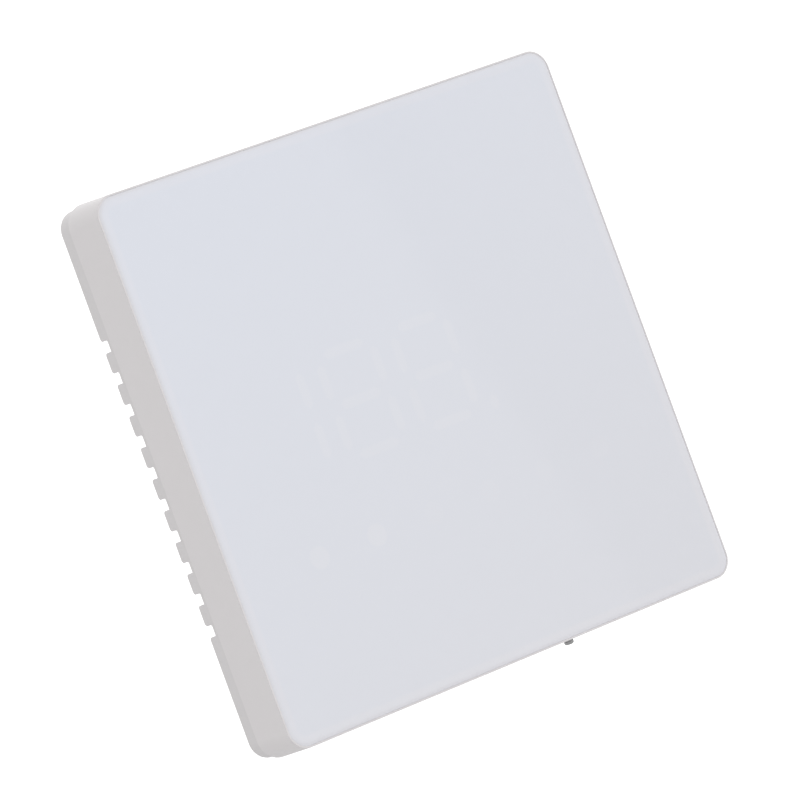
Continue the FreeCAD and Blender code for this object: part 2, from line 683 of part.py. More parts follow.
def make_front_housing():
    body = new_body("FrontHousing")
    taper = f"-1 * atan((Sizes.shell_width - Sizes.shell_front_width) / 2 / {SHELL_DEPTH})"
    pad(body, rounded_outline(body, "shell_outline", "Sizes.shell_width", "Sizes.shell_width",
                              "Sizes.shell_corner", SHELL_BACK), SHELL_DEPTH, taper)
    round_front_edges(body, "Sizes.shell_edge_radius")
    recess = "Sizes.panel_width + 2 * Sizes.panel_gap"
    pocket(body, rounded_outline(body, "panel_recess", recess, recess, "Sizes.panel_corner + Sizes.panel_gap",
                                 "Sizes.ledge_front"), SHELL_DEPTH)
    hollow = "Sizes.shell_width - 2 * Sizes.shell_wall"
    pocket(body, rounded_outline(body, "shell_hollow", hollow, hollow,
                                 "Sizes.shell_corner - Sizes.shell_wall", SHELL_BACK),
           f"Sizes.ledge_back - {SHELL_BACK}")
    pocket(body, rounded_outline(body, "display_window", "Sizes.window_width", "Sizes.window_height",
                                 "Sizes.window_corner", "Sizes.ledge_back", "0", "Sizes.window_z"),
           f"Sizes.ledge_front - Sizes.ledge_back + {SPARE}")
    for number, (x, z) in enumerate(post_places(), start=1):
        pad(body, circle(body, f"post_{number}", "Sizes.post_radius", BOARD_FRONT, x, z),
            f"Sizes.ledge_back - {BOARD_FRONT}")
        pocket(body, circle(body, f"post_hole_{number}",
                            "Sizes.cover_screw_radius + Sizes.cover_screw_clearance", BOARD_FRONT, x, z),
               "Sizes.post_hole_depth")
    boss_height = "(Sizes.lock_boss_height + Sizes.lock_boss_root)"
    pad(body, rectangle(body, "lock_boss", "Sizes.lock_boss_width", boss_height, SHELL_BACK, "Sizes.lock_x",
                        f"{LOCK_BOSS_TOP} - {boss_height} / 2"), f"Sizes.ledge_back - {SHELL_BACK}")
    hole = upright_rod("lock_hole", "Sizes.lock_hole_radius",
                       f"Sizes.shell_wall + Sizes.lock_boss_height + 2 * {SPARE}", "Sizes.lock_x",
                       "Sizes.lock_back", f"0 - Sizes.shell_width / 2 - {SPARE}")
    seat = upright_rod("lock_insert_seat", "Sizes.lock_insert_radius + Sizes.lock_insert_clearance",
                       f"Sizes.lock_insert_length + {SPARE}", "Sizes.lock_x", "Sizes.lock_back",
                       LOCK_INSERT_BOTTOM)
    drill = fuse("lock_drill", [hole, seat])
    keep(cut("FrontHousingDrilled", body, [drill]), "front_housing")


def make_front_panel():
    body = new_body("FrontPanel")
    pad(body, rounded_outline(body, "panel_outline", "Sizes.panel_width", "Sizes.panel_width",
                              "Sizes.panel_corner", "Sizes.panel_back"),
        "Sizes.total_depth - Sizes.panel_back")
    round_front_edges(body, "Sizes.panel_edge_radius")
    keep(body, "front_panel")


def make_panel_tape():
    body = new_body("PanelTape")
    thickness = "Sizes.panel_back - Sizes.ledge_front"
    pad(body, rounded_outline(body, "tape_outline", "Sizes.tape_width", "Sizes.tape_width",
                              "Sizes.tape_corner", "Sizes.ledge_front"), thickness)
    pocket(body, rounded_outline(body, "tape_window", "Sizes.window_width", "Sizes.window_height",
                                 "Sizes.window_corner", "Sizes.ledge_front", "0", "Sizes.window_z"),
           thickness)
    keep(body, "panel_tape")


def make_display_layers():
    sheet_part = block("FoilSheet", "Sizes.window_width - 2 * Sizes.foil_margin", "Sizes.foil_thickness",
                       "Sizes.window_height - 2 * Sizes.foil_margin", "0", FOIL_BACK, "Sizes.window_z")
    tail_back = f"({BOARD_FRONT} + Sizes.foil_connector_thickness)"
    tail = block("FoilTail", "Sizes.foil_tail_width", f"{FOIL_BACK} - {tail_back}", "Sizes.foil_thickness",
                 "0", tail_back, "Sizes.foil_tail_z")
    keep(fuse("TouchFoil", [sheet_part, tail]), "touch_foil")
    keep(block("FoilConnector", "Sizes.foil_connector_width", "Sizes.foil_connector_thickness",
               "Sizes.foil_connector_height", "0", BOARD_FRONT, "Sizes.foil_tail_z"), "foil_connector")
    keep(block("Diffuser", "Sizes.reflector_width", "Sizes.diffuser_thickness", "Sizes.reflector_height",
               "0", DIFFUSER_BACK, "Sizes.window_z"), "display_diffuser")


def segment_places():
    """Centre x, centre z and direction of every lit stroke of the display."""
    places = []
    for column, strokes in DIGITS:
        for across, up, upright in strokes:
            x = f"Sizes.digit_x + {column} * Sizes.digit_pitch + {across} * Sizes.digit_half_width"
            z = f"Sizes.digit_z + {up} * Sizes.digit_step"
            places.append((x, z, upright))
    return places


def key_places():
    return [f"({step}) * Sizes.key_pitch" for step in centred(sheet.key_count)]


def make_display():
    slab = block("ReflectorSlab", "Sizes.reflector_width", REFLECTOR_DEPTH, "Sizes.reflector_height",
                 "0", BOARD_FRONT, "Sizes.window_z")
    well_depth = f"{REFLECTOR_DEPTH} + {SPARE}"
    wells, lamps = [], []
    for number, (x, z, upright) in enumerate(segment_places(), start=1):
        well = ("Sizes.segment_width", "Sizes.segment_length")
        lamp = ("Sizes.led_width", "Sizes.led_length")
        if not upright:
            well, lamp = well[::-1], lamp[::-1]
        wells.append(block(f"SegmentWell{number}", well[0], well_depth, well[1], x, BOARD_FRONT, z))
        lamps.append(block(f"SegmentLamp{number}", lamp[0], "Sizes.led_height", lamp[1], x, BOARD_FRONT, z))
    point = ("Sizes.decimal_x", BOARD_FRONT, "Sizes.decimal_z")
    wells.append(rod("DecimalWell", "Sizes.decimal_radius", well_depth, *point))
    lamps.append(block("DecimalLamp", "Sizes.led_width", "Sizes.led_height", "Sizes.led_width", *point))
    key_lamps = []
    for number, x in enumerate(key_places(), start=1):
        place = (x, BOARD_FRONT, "Sizes.key_z")
        wells.append(rod(f"KeyWell{number}", "Sizes.key_well / 2", well_depth, *place))
        key_lamps.append(block(f"KeyLamp{number}", "Sizes.led_length", "Sizes.led_height", "Sizes.led_width",
                               *place))
    keep(cut("Reflector", slab, [group("Wells", wells)]), "display_reflector")
    keep(group("SegmentLamps", lamps), "segment_leds")
    keep(group("KeyLamps", key_lamps), "key_leds")


def make_main_board():
    body = new_body("MainBoard")
    pad(body, rounded_outline(body, "board_outline", "Sizes.board_width", "Sizes.board_height",
                              "Sizes.board_corner", "Sizes.board_back", "0", "Sizes.board_z"),
        "Sizes.board_thickness")
    for number, (x, z) in enumerate(post_places(), start=1):
        pocket(body, circle(body, f"board_hole_{number}",
                            "Sizes.cover_screw_radius + Sizes.board_hole_clearance", "Sizes.board_back",
                            x, z), "Sizes.board_thickness")
    finger_x = "0 - Sizes.board_width / 2 + Sizes.sensor_slot_length / 2"
    for name, side in (("lower", -1), ("upper", 1)):
        pocket(body, rectangle(body, f"sensor_slot_{name}", "Sizes.sensor_slot_length",
                               "Sizes.sensor_slot_width", "Sizes.board_back", finger_x,
                               f"Sizes.sensor_finger_z + {side} * Sizes.sensor_finger_height / 2"),
               "Sizes.board_thickness")
    keep(body, "main_board")


def make_board_components():
    for name, *_ in CHIPS:
        thickness = f"Sizes.{name}_thickness"
        keep(block(name.title().replace("_", ""), f"Sizes.{name}_width", thickness, f"Sizes.{name}_height",
                   f"Sizes.{name}_x", f"Sizes.board_back - {thickness}", f"Sizes.{name}_z"), name)
    for (kind, *_), places in ((CAPACITOR_SIZE, CAPACITOR_PLACES), (RESISTOR_SIZE, RESISTOR_PLACES)):
        thickness = f"Sizes.{kind}_thickness"
        pieces = [block(f"{kind.title()}{number}", f"Sizes.{kind}_length", thickness, f"Sizes.{kind}_width",
                        str(x), f"Sizes.board_back - {thickness}", str(z))
                  for number, (x, z) in enumerate(places, start=1)]
        keep(group(f"{kind.title()}Group", pieces), f"{kind}s")
    pads = [block(f"ContactPad{number}", "Sizes.spring_width + 2 * Sizes.pad_margin", "Sizes.pad_thickness",
                  "Sizes.spring_length", x, "Sizes.board_back - Sizes.pad_thickness", "Sizes.spring_z")
            for number, x in enumerate(terminal_places(), start=1)]
    keep(group("ContactPads", pads), "contact_pads")


def make_reset_switch():
    place = ("Sizes.switch_x", "Sizes.board_back - Sizes.switch_thickness", "Sizes.switch_z")
    case = block("SwitchCase", "Sizes.switch_width", "Sizes.switch_thickness", "Sizes.switch_width", *place)
    bore = rod("SwitchBore", "Sizes.switch_bore_radius", "Sizes.switch_bore_depth", *place)
    keep(cut("ResetSwitch", case, [bore]), "reset_switch")
    keep(rod("ResetPlunger", "Sizes.plunger_radius", "Sizes.plunger_length", "Sizes.switch_x",
             "Sizes.board_back - Sizes.switch_thickness - Sizes.plunger_showing", "Sizes.switch_z"),
         "reset_plunger")


def make_back_cover():
    body = new_body("BackCover")
    pad(body, rounded_outline(body, "cover_outline", "Sizes.cover_width", "Sizes.cover_width",
                              "Sizes.cover_corner", "Sizes.cover_back"), "Sizes.cover_thickness")
    for number, (x, z) in enumerate(post_places(), start=1):
        pad(body, circle(body, f"cover_tube_{number}", "Sizes.cover_tube_radius", COVER_FRONT, x, z),
            f"Sizes.board_back - {COVER_FRONT}")
        pocket(body, circle(body, f"cover_bore_{number}",
                            "Sizes.cover_screw_radius + Sizes.cover_screw_clearance", "Sizes.cover_back",
                            x, z), "Sizes.board_back - Sizes.cover_back")
    pocket(body, rectangle(body, "terminal_window", "Sizes.cover_window_width", "Sizes.cover_window_height",
                           "Sizes.cover_back", "0", "Sizes.terminal_z"), "Sizes.cover_thickness")
    notch_top = "(Sizes.lock_tab_bottom + Sizes.lock_tab_thickness + Sizes.cover_notch_clearance)"
    notch_height = f"(Sizes.cover_width / 2 + {notch_top})"
    pocket(body, rectangle(body, "lock_notch", "Sizes.lock_boss_width + 2 * Sizes.cover_notch_side",
                           notch_height, "Sizes.cover_back", "Sizes.lock_x",
                           f"{notch_top} - {notch_height} / 2"),
           "Sizes.cover_thickness")
    pocket(body, circle(body, "reset_hole", "Sizes.switch_bore_radius", "Sizes.cover_back", "Sizes.switch_x",
                        "Sizes.switch_z"), "Sizes.cover_thickness")
    air_slots(body, "cover", "Sizes.cover_back", "Sizes.cover_thickness")
    for side, sign in (("left", -1), ("right", 1)):
        x = f"{sign} * Sizes.hook_x"
        pad(body, rectangle(body, f"hook_stem_{side}", "Sizes.hook_width", "Sizes.hook_stem_height",
                            "Sizes.hook_back", x, "Sizes.hook_stem_z"), "Sizes.cover_back - Sizes.hook_back")
        pad(body, rectangle(body, f"hook_lip_{side}", "Sizes.hook_width", "Sizes.hook_lip_height",
                            "Sizes.hook_back", x,
                            "Sizes.hook_stem_z + (Sizes.hook_lip_height - Sizes.hook_stem_height) / 2"),
            "Sizes.hook_lip_thickness")
    sink_radius = "Sizes.cover_screw_head_radius + Sizes.cover_screw_clearance"
    sinks = [countersink(f"CoverSink{number}", sink_radius, x, z)
             for number, (x, z) in enumerate(post_places(), start=1)]
    keep(cut("BackCoverSunk", body, sinks), "back_cover")


def countersink(name, radius, x, z):
    """Cone that narrows from the rear of the back cover to the screw's shank."""
    cone = doc.addObject("Part::Cone", name)
    cone.Placement = Placement(Vector(), Rotation(Vector(1, 0, 0), 90))
    cone.setExpression("Radius1", radius)
    cone.setExpression("Radius2", "Sizes.cover_screw_radius")
    cone.setExpression("Height", "Sizes.cover_thickness")
    bind_place(cone, x, "0 - Sizes.cover_back", z)
    return cone


def make_cover_screws():
    screws = []
    for number, (x, z) in enumerate(post_places(), start=1):
        head = countersink(f"CoverScrewHead{number}", "Sizes.cover_screw_head_radius", x, z)
        shank = rod(f"CoverScrewShank{number}", "Sizes.cover_screw_radius", "Sizes.cover_screw_length", x,
                    "Sizes.cover_back", z)
        cross = ("Sizes.cover_cross_length", "Sizes.cover_cross_width")
        bars = [block(f"CoverScrewCross{number}{kind}", width, "Sizes.cover_cross_depth", height, x,
                      "Sizes.cover_back", z) for kind, width, height in (("a", *cross), ("b", *cross[::-1]))]
        solid = fuse(f"CoverScrewSolid{number}", [head, shank])
        screws.append(cut(f"CoverScrew{number}", solid, [fuse(f"CoverScrewDrive{number}", bars)]))
    keep(group("CoverScrews", screws), "cover_screws")


def make_lock():
    sleeve = upright_rod("LockInsertSolid", "Sizes.lock_insert_radius", "Sizes.lock_insert_length",
                         "Sizes.lock_x", "Sizes.lock_back", LOCK_INSERT_BOTTOM)
    thread = upright_rod("LockInsertThread", "Sizes.lock_screw_radius + Sizes.lock_thread_clearance",
                         f"Sizes.lock_insert_length + 2 * {SPARE}", "Sizes.lock_x", "Sizes.lock_back",
                         f"{LOCK_INSERT_BOTTOM} - {SPARE}")
    keep(cut("LockInsert", sleeve, [thread]), "lock_insert")
    end = doc.addObject("Part::Cone", "LockEnd")
    end.setExpression("Radius1", "Sizes.lock_screw_radius - Sizes.lock_screw_chamfer")
    end.setExpression("Radius2", "Sizes.lock_screw_radius")
    end.setExpression("Height", "Sizes.lock_screw_chamfer")
    bind_place(end, "Sizes.lock_x", "0 - Sizes.lock_back", LOCK_SCREW_BOTTOM)
    shank = upright_rod("LockShank", "Sizes.lock_screw_radius",
                        "Sizes.lock_screw_length - Sizes.lock_screw_chamfer", "Sizes.lock_x",
                        "Sizes.lock_back", f"{LOCK_SCREW_BOTTOM} + Sizes.lock_screw_chamfer")
    point = upright_rod("LockPoint", "Sizes.lock_point_radius", "Sizes.lock_point_length", "Sizes.lock_x",
                        "Sizes.lock_back", f"{LOCK_SCREW_BOTTOM} + Sizes.lock_screw_length")
    solid = fuse("LockScrewSolid", [end, shank, point])
    socket = doc.addObject("Part::Prism", "LockSocket")
    socket.Polygon = 6
    socket.setExpression("Circumradius", "Sizes.lock_socket_width / 2 / cos(30)")
    socket.setExpression("Height", "Sizes.lock_socket_depth")
    bind_place(socket, "Sizes.lock_x", "0 - Sizes.lock_back", LOCK_SCREW_BOTTOM)
    keep(cut("LockScrew", solid, [socket]), "lock_screw")


# ---------------------------------------------------------------- build, check and write

def check_model():
    """Stop if any object failed, or any sub-part is empty or broken."""
    for item in doc.Objects:
        if {"Invalid", "Error"} & set(item.State):
            raise RuntimeError(f"{item.Label} failed: {item.State}")
    for piece in sub_parts:
        if piece.Shape.isNull() or not piece.Shape.isValid() or not piece.Shape.Solids:
            raise RuntimeError(f"{piece.Label} has no valid solid")


def write_steps():
    os.makedirs("parts", exist_ok=True)
    for piece in sub_parts:
        piece.Shape.exportStep(f"parts/{piece.Label}.step")
        box = piece.Shape.BoundBox
        print(f"{piece.Label:22s} solids {len(piece.Shape.Solids):2d}  volume {piece.Shape.Volume:9.2f}  "
              f"x {box.XMin:7.2f} {box.XMax:7.2f}  y {box.YMin:7.2f} {box.YMax:7.2f}  "
              f"z {box.ZMin:7.2f} {box.ZMax:7.2f}")


fill_sheet()
make_wall_plate()
make_terminals()
make_front_housing()
make_front_panel()
make_panel_tape()
make_display_layers()
make_display()
make_main_board()
make_board_components()
make_reset_switch()
make_back_cover()
make_cover_screws()
make_lock()
doc.recompute()
check_model()
write_steps()
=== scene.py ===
"""Looks of the square wall thermostat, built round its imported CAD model. Lengths are in metres.

The frame's origin is the middle of the wall face: X right, Z up, and the front looks along -Y.
"""

import json
import math

import bmesh
import bpy
from mathutils import Matrix, Quaternion, Vector


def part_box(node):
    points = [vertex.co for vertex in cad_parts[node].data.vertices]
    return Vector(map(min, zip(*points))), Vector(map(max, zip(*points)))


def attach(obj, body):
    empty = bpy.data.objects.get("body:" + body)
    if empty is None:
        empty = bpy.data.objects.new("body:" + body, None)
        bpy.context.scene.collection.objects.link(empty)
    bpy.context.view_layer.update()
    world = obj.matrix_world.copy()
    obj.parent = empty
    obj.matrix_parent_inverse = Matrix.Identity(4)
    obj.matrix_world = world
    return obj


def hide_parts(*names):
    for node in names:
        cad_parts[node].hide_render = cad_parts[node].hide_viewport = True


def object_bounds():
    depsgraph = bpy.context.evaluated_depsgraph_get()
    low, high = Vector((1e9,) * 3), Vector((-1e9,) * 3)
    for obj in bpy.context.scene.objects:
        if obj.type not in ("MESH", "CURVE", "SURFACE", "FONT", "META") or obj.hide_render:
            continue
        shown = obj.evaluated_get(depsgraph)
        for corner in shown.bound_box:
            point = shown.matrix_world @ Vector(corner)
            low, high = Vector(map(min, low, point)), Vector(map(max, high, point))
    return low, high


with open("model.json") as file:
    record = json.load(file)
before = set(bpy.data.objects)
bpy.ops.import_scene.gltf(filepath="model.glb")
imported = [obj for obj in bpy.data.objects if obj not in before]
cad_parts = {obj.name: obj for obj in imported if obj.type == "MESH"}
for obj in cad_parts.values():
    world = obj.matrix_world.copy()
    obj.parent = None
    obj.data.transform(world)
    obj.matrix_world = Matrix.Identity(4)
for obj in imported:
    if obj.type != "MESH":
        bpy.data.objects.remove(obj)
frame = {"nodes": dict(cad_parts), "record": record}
cad_low, cad_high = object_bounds()

MM = 0.001
DEGREE = math.radians(1)
NODES = frame["nodes"]
BODIES = frame["record"]["behaviour"]["bodies"]
BODY_OF = {node: body for body, members in BODIES.items() for node in members}


# ---------------------------------------------------------------- camera

LENS = 271.85                    # mm on a 36 mm sensor
CAMERA_AZIMUTH = -34.01          # degrees from the front, negative to the left
CAMERA_ELEVATION = 0.876
CAMERA_ROLL = -20.149
CAMERA_DISTANCE = 0.8956
CAMERA_AIM = (-4.15 * MM, -0.10 * MM)   # x and z of the aimed-at point on the front face


def direction(azimuth, elevation):
    """Unit vector that points away from the front at two angles in degrees."""
    side, lift = math.radians(azimuth), math.radians(elevation)
    return Vector((math.sin(side) * math.cos(lift), -math.cos(side) * math.cos(lift), math.sin(lift)))


def make_camera():
    back = direction(CAMERA_AZIMUTH, CAMERA_ELEVATION)
    aim = Vector((CAMERA_AIM[0], cad_low.y, CAMERA_AIM[1]))
    data = bpy.data.cameras.new("camera")
    data.sensor_width = 36.0
    data.lens = LENS
    data.clip_start = 0.01
    data.clip_end = 20.0
    camera = bpy.data.objects.new("camera", data)
    camera.rotation_mode = "QUATERNION"
    camera.location = aim + back * CAMERA_DISTANCE
    level = (-back).to_track_quat("-Z", "Y")
    camera.rotation_quaternion = level @ Quaternion((0, 0, 1), math.radians(CAMERA_ROLL))
    bpy.context.scene.collection.objects.link(camera)
    bpy.context.scene.camera = camera


# ---------------------------------------------------------------- node graphs

class Graph:
    """A material's or world's node tree, with short ways to add and join nodes."""

    def __init__(self, owner):
        owner.use_nodes = True
        self.tree = owner.node_tree
        self.tree.nodes.clear()

    def add(self, kind, inputs=None, **settings):
        node = self.tree.nodes.new(f"ShaderNode{kind}")
        for name, value in settings.items():
            setattr(node, name, value)
        for name, value in (inputs or {}).items():
            self.give(node.inputs[name], value)
        return node

    def give(self, socket, value):
        if isinstance(value, bpy.types.NodeSocket):
            self.tree.links.new(value, socket)
        else:
            socket.default_value = value

    def math(self, operation, first, second=0.0):
        return self.add("Math", {0: first, 1: second}, operation=operation).outputs[0]

    def total(self, *values):
        result = values[0]
        for value in values[1:]:
            result = self.math("ADD", result, value)
        return result

    def along(self, vector, axis):
        """How far a vector reaches along an axis."""
        return self.add("VectorMath", {0: vector, 1: axis}, operation="DOT_PRODUCT").outputs["Value"]

    def grey(self, value):
        """The same value in all three channels."""
        return self.add("CombineXYZ", {"X": value, "Y": value, "Z": value}).outputs[0]

    def mix(self, factor, first, second):
        node = self.add("Mix", {"Factor": factor}, data_type="RGBA")
        self.give(node.inputs[6], first)
        self.give(node.inputs[7], second)
        return node.outputs[2]

    def ramp(self, value, low, high, out_low=0.0, out_high=1.0, smooth=False):
        kind = "SMOOTHSTEP" if smooth else "LINEAR"
        return self.add("MapRange", {"Value": value, "From Min": low, "From Max": high, "To Min": out_low,
                                     "To Max": out_high}, interpolation_type=kind).outputs[0]

    def place(self, stretch=None):
        """Position in the object's own frame, which is the row frame, stretched along its axes."""
        position = self.add("TexCoord").outputs["Object"]
        if stretch is None:
            return position
        return self.add("Mapping", {"Vector": position, "Scale": stretch}).outputs[0]

    def place_on_front(self):
        """Distances to the right and up from the middle, as seen from the front."""
        position = self.add("SeparateXYZ", {"Vector": self.place()}).outputs
        return position["X"], position["Z"]

    def noise(self, scale, detail=2.0, roughness=0.5, stretch=None):
        return self.add("TexNoise", {"Vector": self.place(stretch), "Scale": scale, "Detail": detail,
                                     "Roughness": roughness}).outputs["Fac"]

    def bump(self, height, strength, distance):
        node = self.add("Bump", {"Height": height, "Strength": strength, "Distance": distance})
        return node.outputs["Normal"]

    def surface(self, **inputs):
        """Finish the material with a Principled shader. Input names have _ for a space."""
        named = {name.replace("_", " "): value for name, value in inputs.items()}
        shader = self.add("BsdfPrincipled", named)
        self.add("OutputMaterial", {"Surface": shader.outputs[0]})


def rgba(colour):
    return (*colour, 1.0)


def shade(colour, factor):
    return tuple(min(1.0, part * factor) for part in colour)


def new_material(name):
    material = bpy.data.materials.new(name)
    return material, Graph(material)


# ---------------------------------------------------------------- materials of many pieces

def moulded_plastic(name, colour, roughness=0.42, grain=0.12 * MM, depth=0.006 * MM, mottle=0.015):
    """Injection-moulded plastic: fine spark-eroded grain, faint flow mottle and uneven gloss."""
    material, graph = new_material(name)
    mottling = graph.noise(60.0, 3.0)
    colour_out = graph.mix(mottling, rgba(shade(colour, 1 - mottle)), rgba(shade(colour, 1 + mottle)))
    fine = graph.noise(1 / grain, 2.0, 0.6)
    gloss = graph.ramp(graph.noise(400.0, 2.0), 0.3, 0.7, roughness - 0.04, roughness + 0.04)
    graph.surface(Base_Color=colour_out, Roughness=gloss, IOR=1.5, Normal=graph.bump(fine, 0.35, depth))
    return material


def metal(name, colour, roughness=0.25, stretch=(1, 1, 1)):
    """Plated or turned metal, with fine marks that run across the stretched direction."""
    material, graph = new_material(name)
    marks = graph.noise(4000.0, 3.0, 0.6, stretch)
    stain = graph.noise(500.0, 2.0)
    colour_out = graph.mix(stain, rgba(shade(colour, 0.88)), rgba(shade(colour, 1.06)))
    gloss = graph.ramp(marks, 0.25, 0.75, roughness * 0.7, roughness * 1.4)
    graph.surface(Base_Color=colour_out, Metallic=1.0, Roughness=gloss,
                  Normal=graph.bump(marks, 0.25, 0.004 * MM))
    return material


def ceramic(name, colour, roughness, speckle, scale=6000.0):
    """Sintered or fired body with fine speckle and a slightly rough skin."""
    material, graph = new_material(name)
    grains = graph.noise(scale, 4.0, 0.7)
    colour_out = graph.mix(grains, rgba(shade(colour, 1 - speckle)), rgba(shade(colour, 1 + speckle)))
    graph.surface(Base_Color=colour_out, Roughness=roughness, Normal=graph.bump(grains, 0.4, 0.006 * MM))
    return material


def film(name, colour, opacity, roughness):
    """Thin polymer film or foam tape that lets some light through."""
    material, graph = new_material(name)
    haze = graph.noise(900.0, 3.0)
    colour_out = graph.mix(haze, rgba(shade(colour, 0.96)), rgba(shade(colour, 1.03)))
    graph.surface(Base_Color=colour_out, Roughness=roughness, IOR=1.5, Transmission_Weight=1 - opacity,
                  Normal=graph.bump(haze, 0.2, 0.01 * MM))
    return material


# ---------------------------------------------------------------- material of the front panel

PANEL_WHITE = (0.787, 0.793, 0.840)
# Painted light: the brighter colour of the band where light runs into the panel's edge
PANEL_EDGE_LIT_WHITE = (0.807, 0.803, 0.843)
PANEL_GLOW_WHITE = (0.806, 0.807, 0.847)

PANEL_CORNER = 2.9 * MM
EDGE_BAND = 1.5 * MM             # width of the band of painted light at the panel's edge
EDGE_SOFTNESS = 0.35 * MM

STROKE_WIDTH = 1.0 * MM
FLAT_STROKE, UPRIGHT_STROKE = 7.0 * MM, 5.1 * MM
KEY_RADIUS = 1.45 * MM
GLOW_EDGE = 0.5 * MM             # distance over which a mark fades out
STROKE_GLOW = 0.75               # how strongly the marks show, next to the brightest keys
FAINT_KEY_GLOW = 0.3
BRIGHT_KEYS = 2                  # the keys at the left that show best


def edge_distance(graph, half, corner):
    """Distance inwards from the outline of a square with rounded corners, seen from the front."""
    beyond = [graph.math("SUBTRACT", graph.math("ABSOLUTE", value), half - corner)
              for value in graph.place_on_front()]
    squares = [graph.math("POWER", graph.math("MAXIMUM", value, 0.0), 2.0) for value in beyond]
    rounded = graph.math("SQRT", graph.total(*squares))
    inside = graph.math("MINIMUM", graph.math("MAXIMUM", *beyond), 0.0)
    return graph.math("SUBTRACT", corner, graph.total(rounded, inside))


def stroke_distance(graph, east, north, low, high):
    """Distance outwards from a display stroke with pointed ends, lit by the LED between two corners."""
    centre, size = (low + high) / 2, high - low
    offsets = [graph.math("ABSOLUTE", graph.math("SUBTRACT", value, place))
               for value, place in ((east, centre.x), (north, centre.z))]
    lies_flat = size.x > size.z
    is_decimal_point = abs(size.x - size.z) < 0.1 * MM
    length = FLAT_STROKE if lies_flat else UPRIGHT_STROKE
    if is_decimal_point:
        length = 2 * STROKE_WIDTH
    along, across = offsets if lies_flat else offsets[::-1]
    beside = graph.math("SUBTRACT", across, STROKE_WIDTH / 2)
    beyond = graph.math("SUBTRACT", graph.math("ADD", along, across), length / 2)
    return graph.math("MAXIMUM", beside, beyond)


def key_distance(graph, east, north, low, high):
    """Distance outwards from the round mark of a touch key."""
    centre = (low + high) / 2
    squares = [graph.math("POWER", graph.math("SUBTRACT", value, place), 2.0)
               for value, place in ((east, centre.x), (north, centre.z))]
    return graph.math("SUBTRACT", graph.math("SQRT", graph.total(*squares)), KEY_RADIUS)


def glow(graph, distances, strength):
    """How strongly marks show through the panel, from their distances."""
    nearest = distances[0]
    for distance in distances[1:]:
        nearest = graph.math("MINIMUM", nearest, distance)
    return graph.ramp(nearest, 0.0, GLOW_EDGE, strength, 0.0, smooth=True)


def hidden_display(graph):
    """The digits, the decimal point and the keys, as they show faintly through the white ink."""
    east, north = graph.place_on_front()
    strokes = [stroke_distance(graph, east, north, *box) for box in solid_boxes("segment_leds")]
    keys = [key_distance(graph, east, north, *box) for box in solid_boxes("key_leds")]
    marks = [glow(graph, strokes, STROKE_GLOW), glow(graph, keys[:BRIGHT_KEYS], 1.0),
             glow(graph, keys[BRIGHT_KEYS:], FAINT_KEY_GLOW)]
    return graph.math("MAXIMUM", graph.math("MAXIMUM", *marks[:2]), marks[2])


def panel_acrylic():
    """White-backed acrylic with a hidden display, and painted light: a brighter band at its edge, where
    light runs into it.
    """
    material, graph = new_material("panel_acrylic")
    low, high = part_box("front_panel")
    inwards = edge_distance(graph, (high.x - low.x) / 2, PANEL_CORNER)
    # Painted light: mask of the brighter band along the panel's edge
    edge_light_band = graph.ramp(inwards, EDGE_BAND - EDGE_SOFTNESS, EDGE_BAND + EDGE_SOFTNESS, 1.0, 0.0, smooth=True)
    mottling = graph.noise(25.0, 2.0)
    colour_out = graph.mix(mottling, rgba(shade(PANEL_WHITE, 0.996)), rgba(shade(PANEL_WHITE, 1.004)))
    colour_out = graph.mix(edge_light_band, colour_out, rgba(PANEL_EDGE_LIT_WHITE))
    colour_out = graph.mix(hidden_display(graph), colour_out, rgba(PANEL_GLOW_WHITE))
    graph.surface(Base_Color=colour_out, Roughness=0.03, IOR=1.49,
                  Normal=graph.bump(graph.noise(90.0, 1.0), 0.04, 0.01 * MM))
    return material


# ---------------------------------------------------------------- material of the board

BOARD_CELL = 6.0 * MM            # side of a square of the board with tracks that run one way
TRACK_PITCH = 0.75 * MM
TRACK_EDGE = (0.10, 0.14)        # where its edge starts and ends, from its middle, in parts of the pitch
MASK_GREEN = (0.012, 0.11, 0.045)
TRACK_GREEN = (0.03, 0.20, 0.07)
WEAVE = 0.4 * MM
WEAVE_COLOURS = {"Color1": (0.42, 0.40, 0.22), "Color2": (0.50, 0.47, 0.28), "Mortar": (0.33, 0.31, 0.17)}


def copper_tracks(graph):
    """Tracks under the mask: up and down in a third of the cells, from side to side in another."""
    places = graph.place_on_front()
    corner = [graph.math("FLOOR", graph.math("DIVIDE", value, BOARD_CELL)) for value in places]
    cell = graph.add("CombineXYZ", {"X": corner[0], "Y": corner[1]}).outputs[0]
    pick = graph.add("TexWhiteNoise", {"Vector": cell}, noise_dimensions="2D").outputs["Value"]
    lines = [graph.math("PINGPONG", graph.math("DIVIDE", value, TRACK_PITCH), 0.5) for value in places]
    tracks = [graph.ramp(value, *TRACK_EDGE, 1.0, 0.0) for value in lines]
    return graph.total(graph.math("MULTIPLY", tracks[0], graph.math("LESS_THAN", pick, 0.34)),
                       graph.math("MULTIPLY", tracks[1], graph.math("GREATER_THAN", pick, 0.66)))


def board_laminate():
    """Green solder mask over copper tracks, with bare fibreglass on the board's edges."""
    material, graph = new_material("board_laminate")
    tracks = copper_tracks(graph)
    mask = graph.mix(tracks, rgba(MASK_GREEN), rgba(TRACK_GREEN))
    normal = graph.add("NewGeometry").outputs["Normal"]
    facing = graph.add("SeparateXYZ", {"Vector": normal}).outputs["Y"]
    is_flat = graph.math("GREATER_THAN", graph.math("ABSOLUTE", facing), 0.5)
    colours = {name: rgba(colour) for name, colour in WEAVE_COLOURS.items()}
    weave = graph.add("TexBrick", {"Vector": graph.place(), "Scale": 1 / WEAVE, **colours}).outputs["Color"]
    graph.surface(Base_Color=graph.mix(is_flat, weave, mask), Roughness=0.28, IOR=1.5,
                  Normal=graph.bump(tracks, 0.5, 0.03 * MM))
    return material


# ---------------------------------------------------------------- all the materials

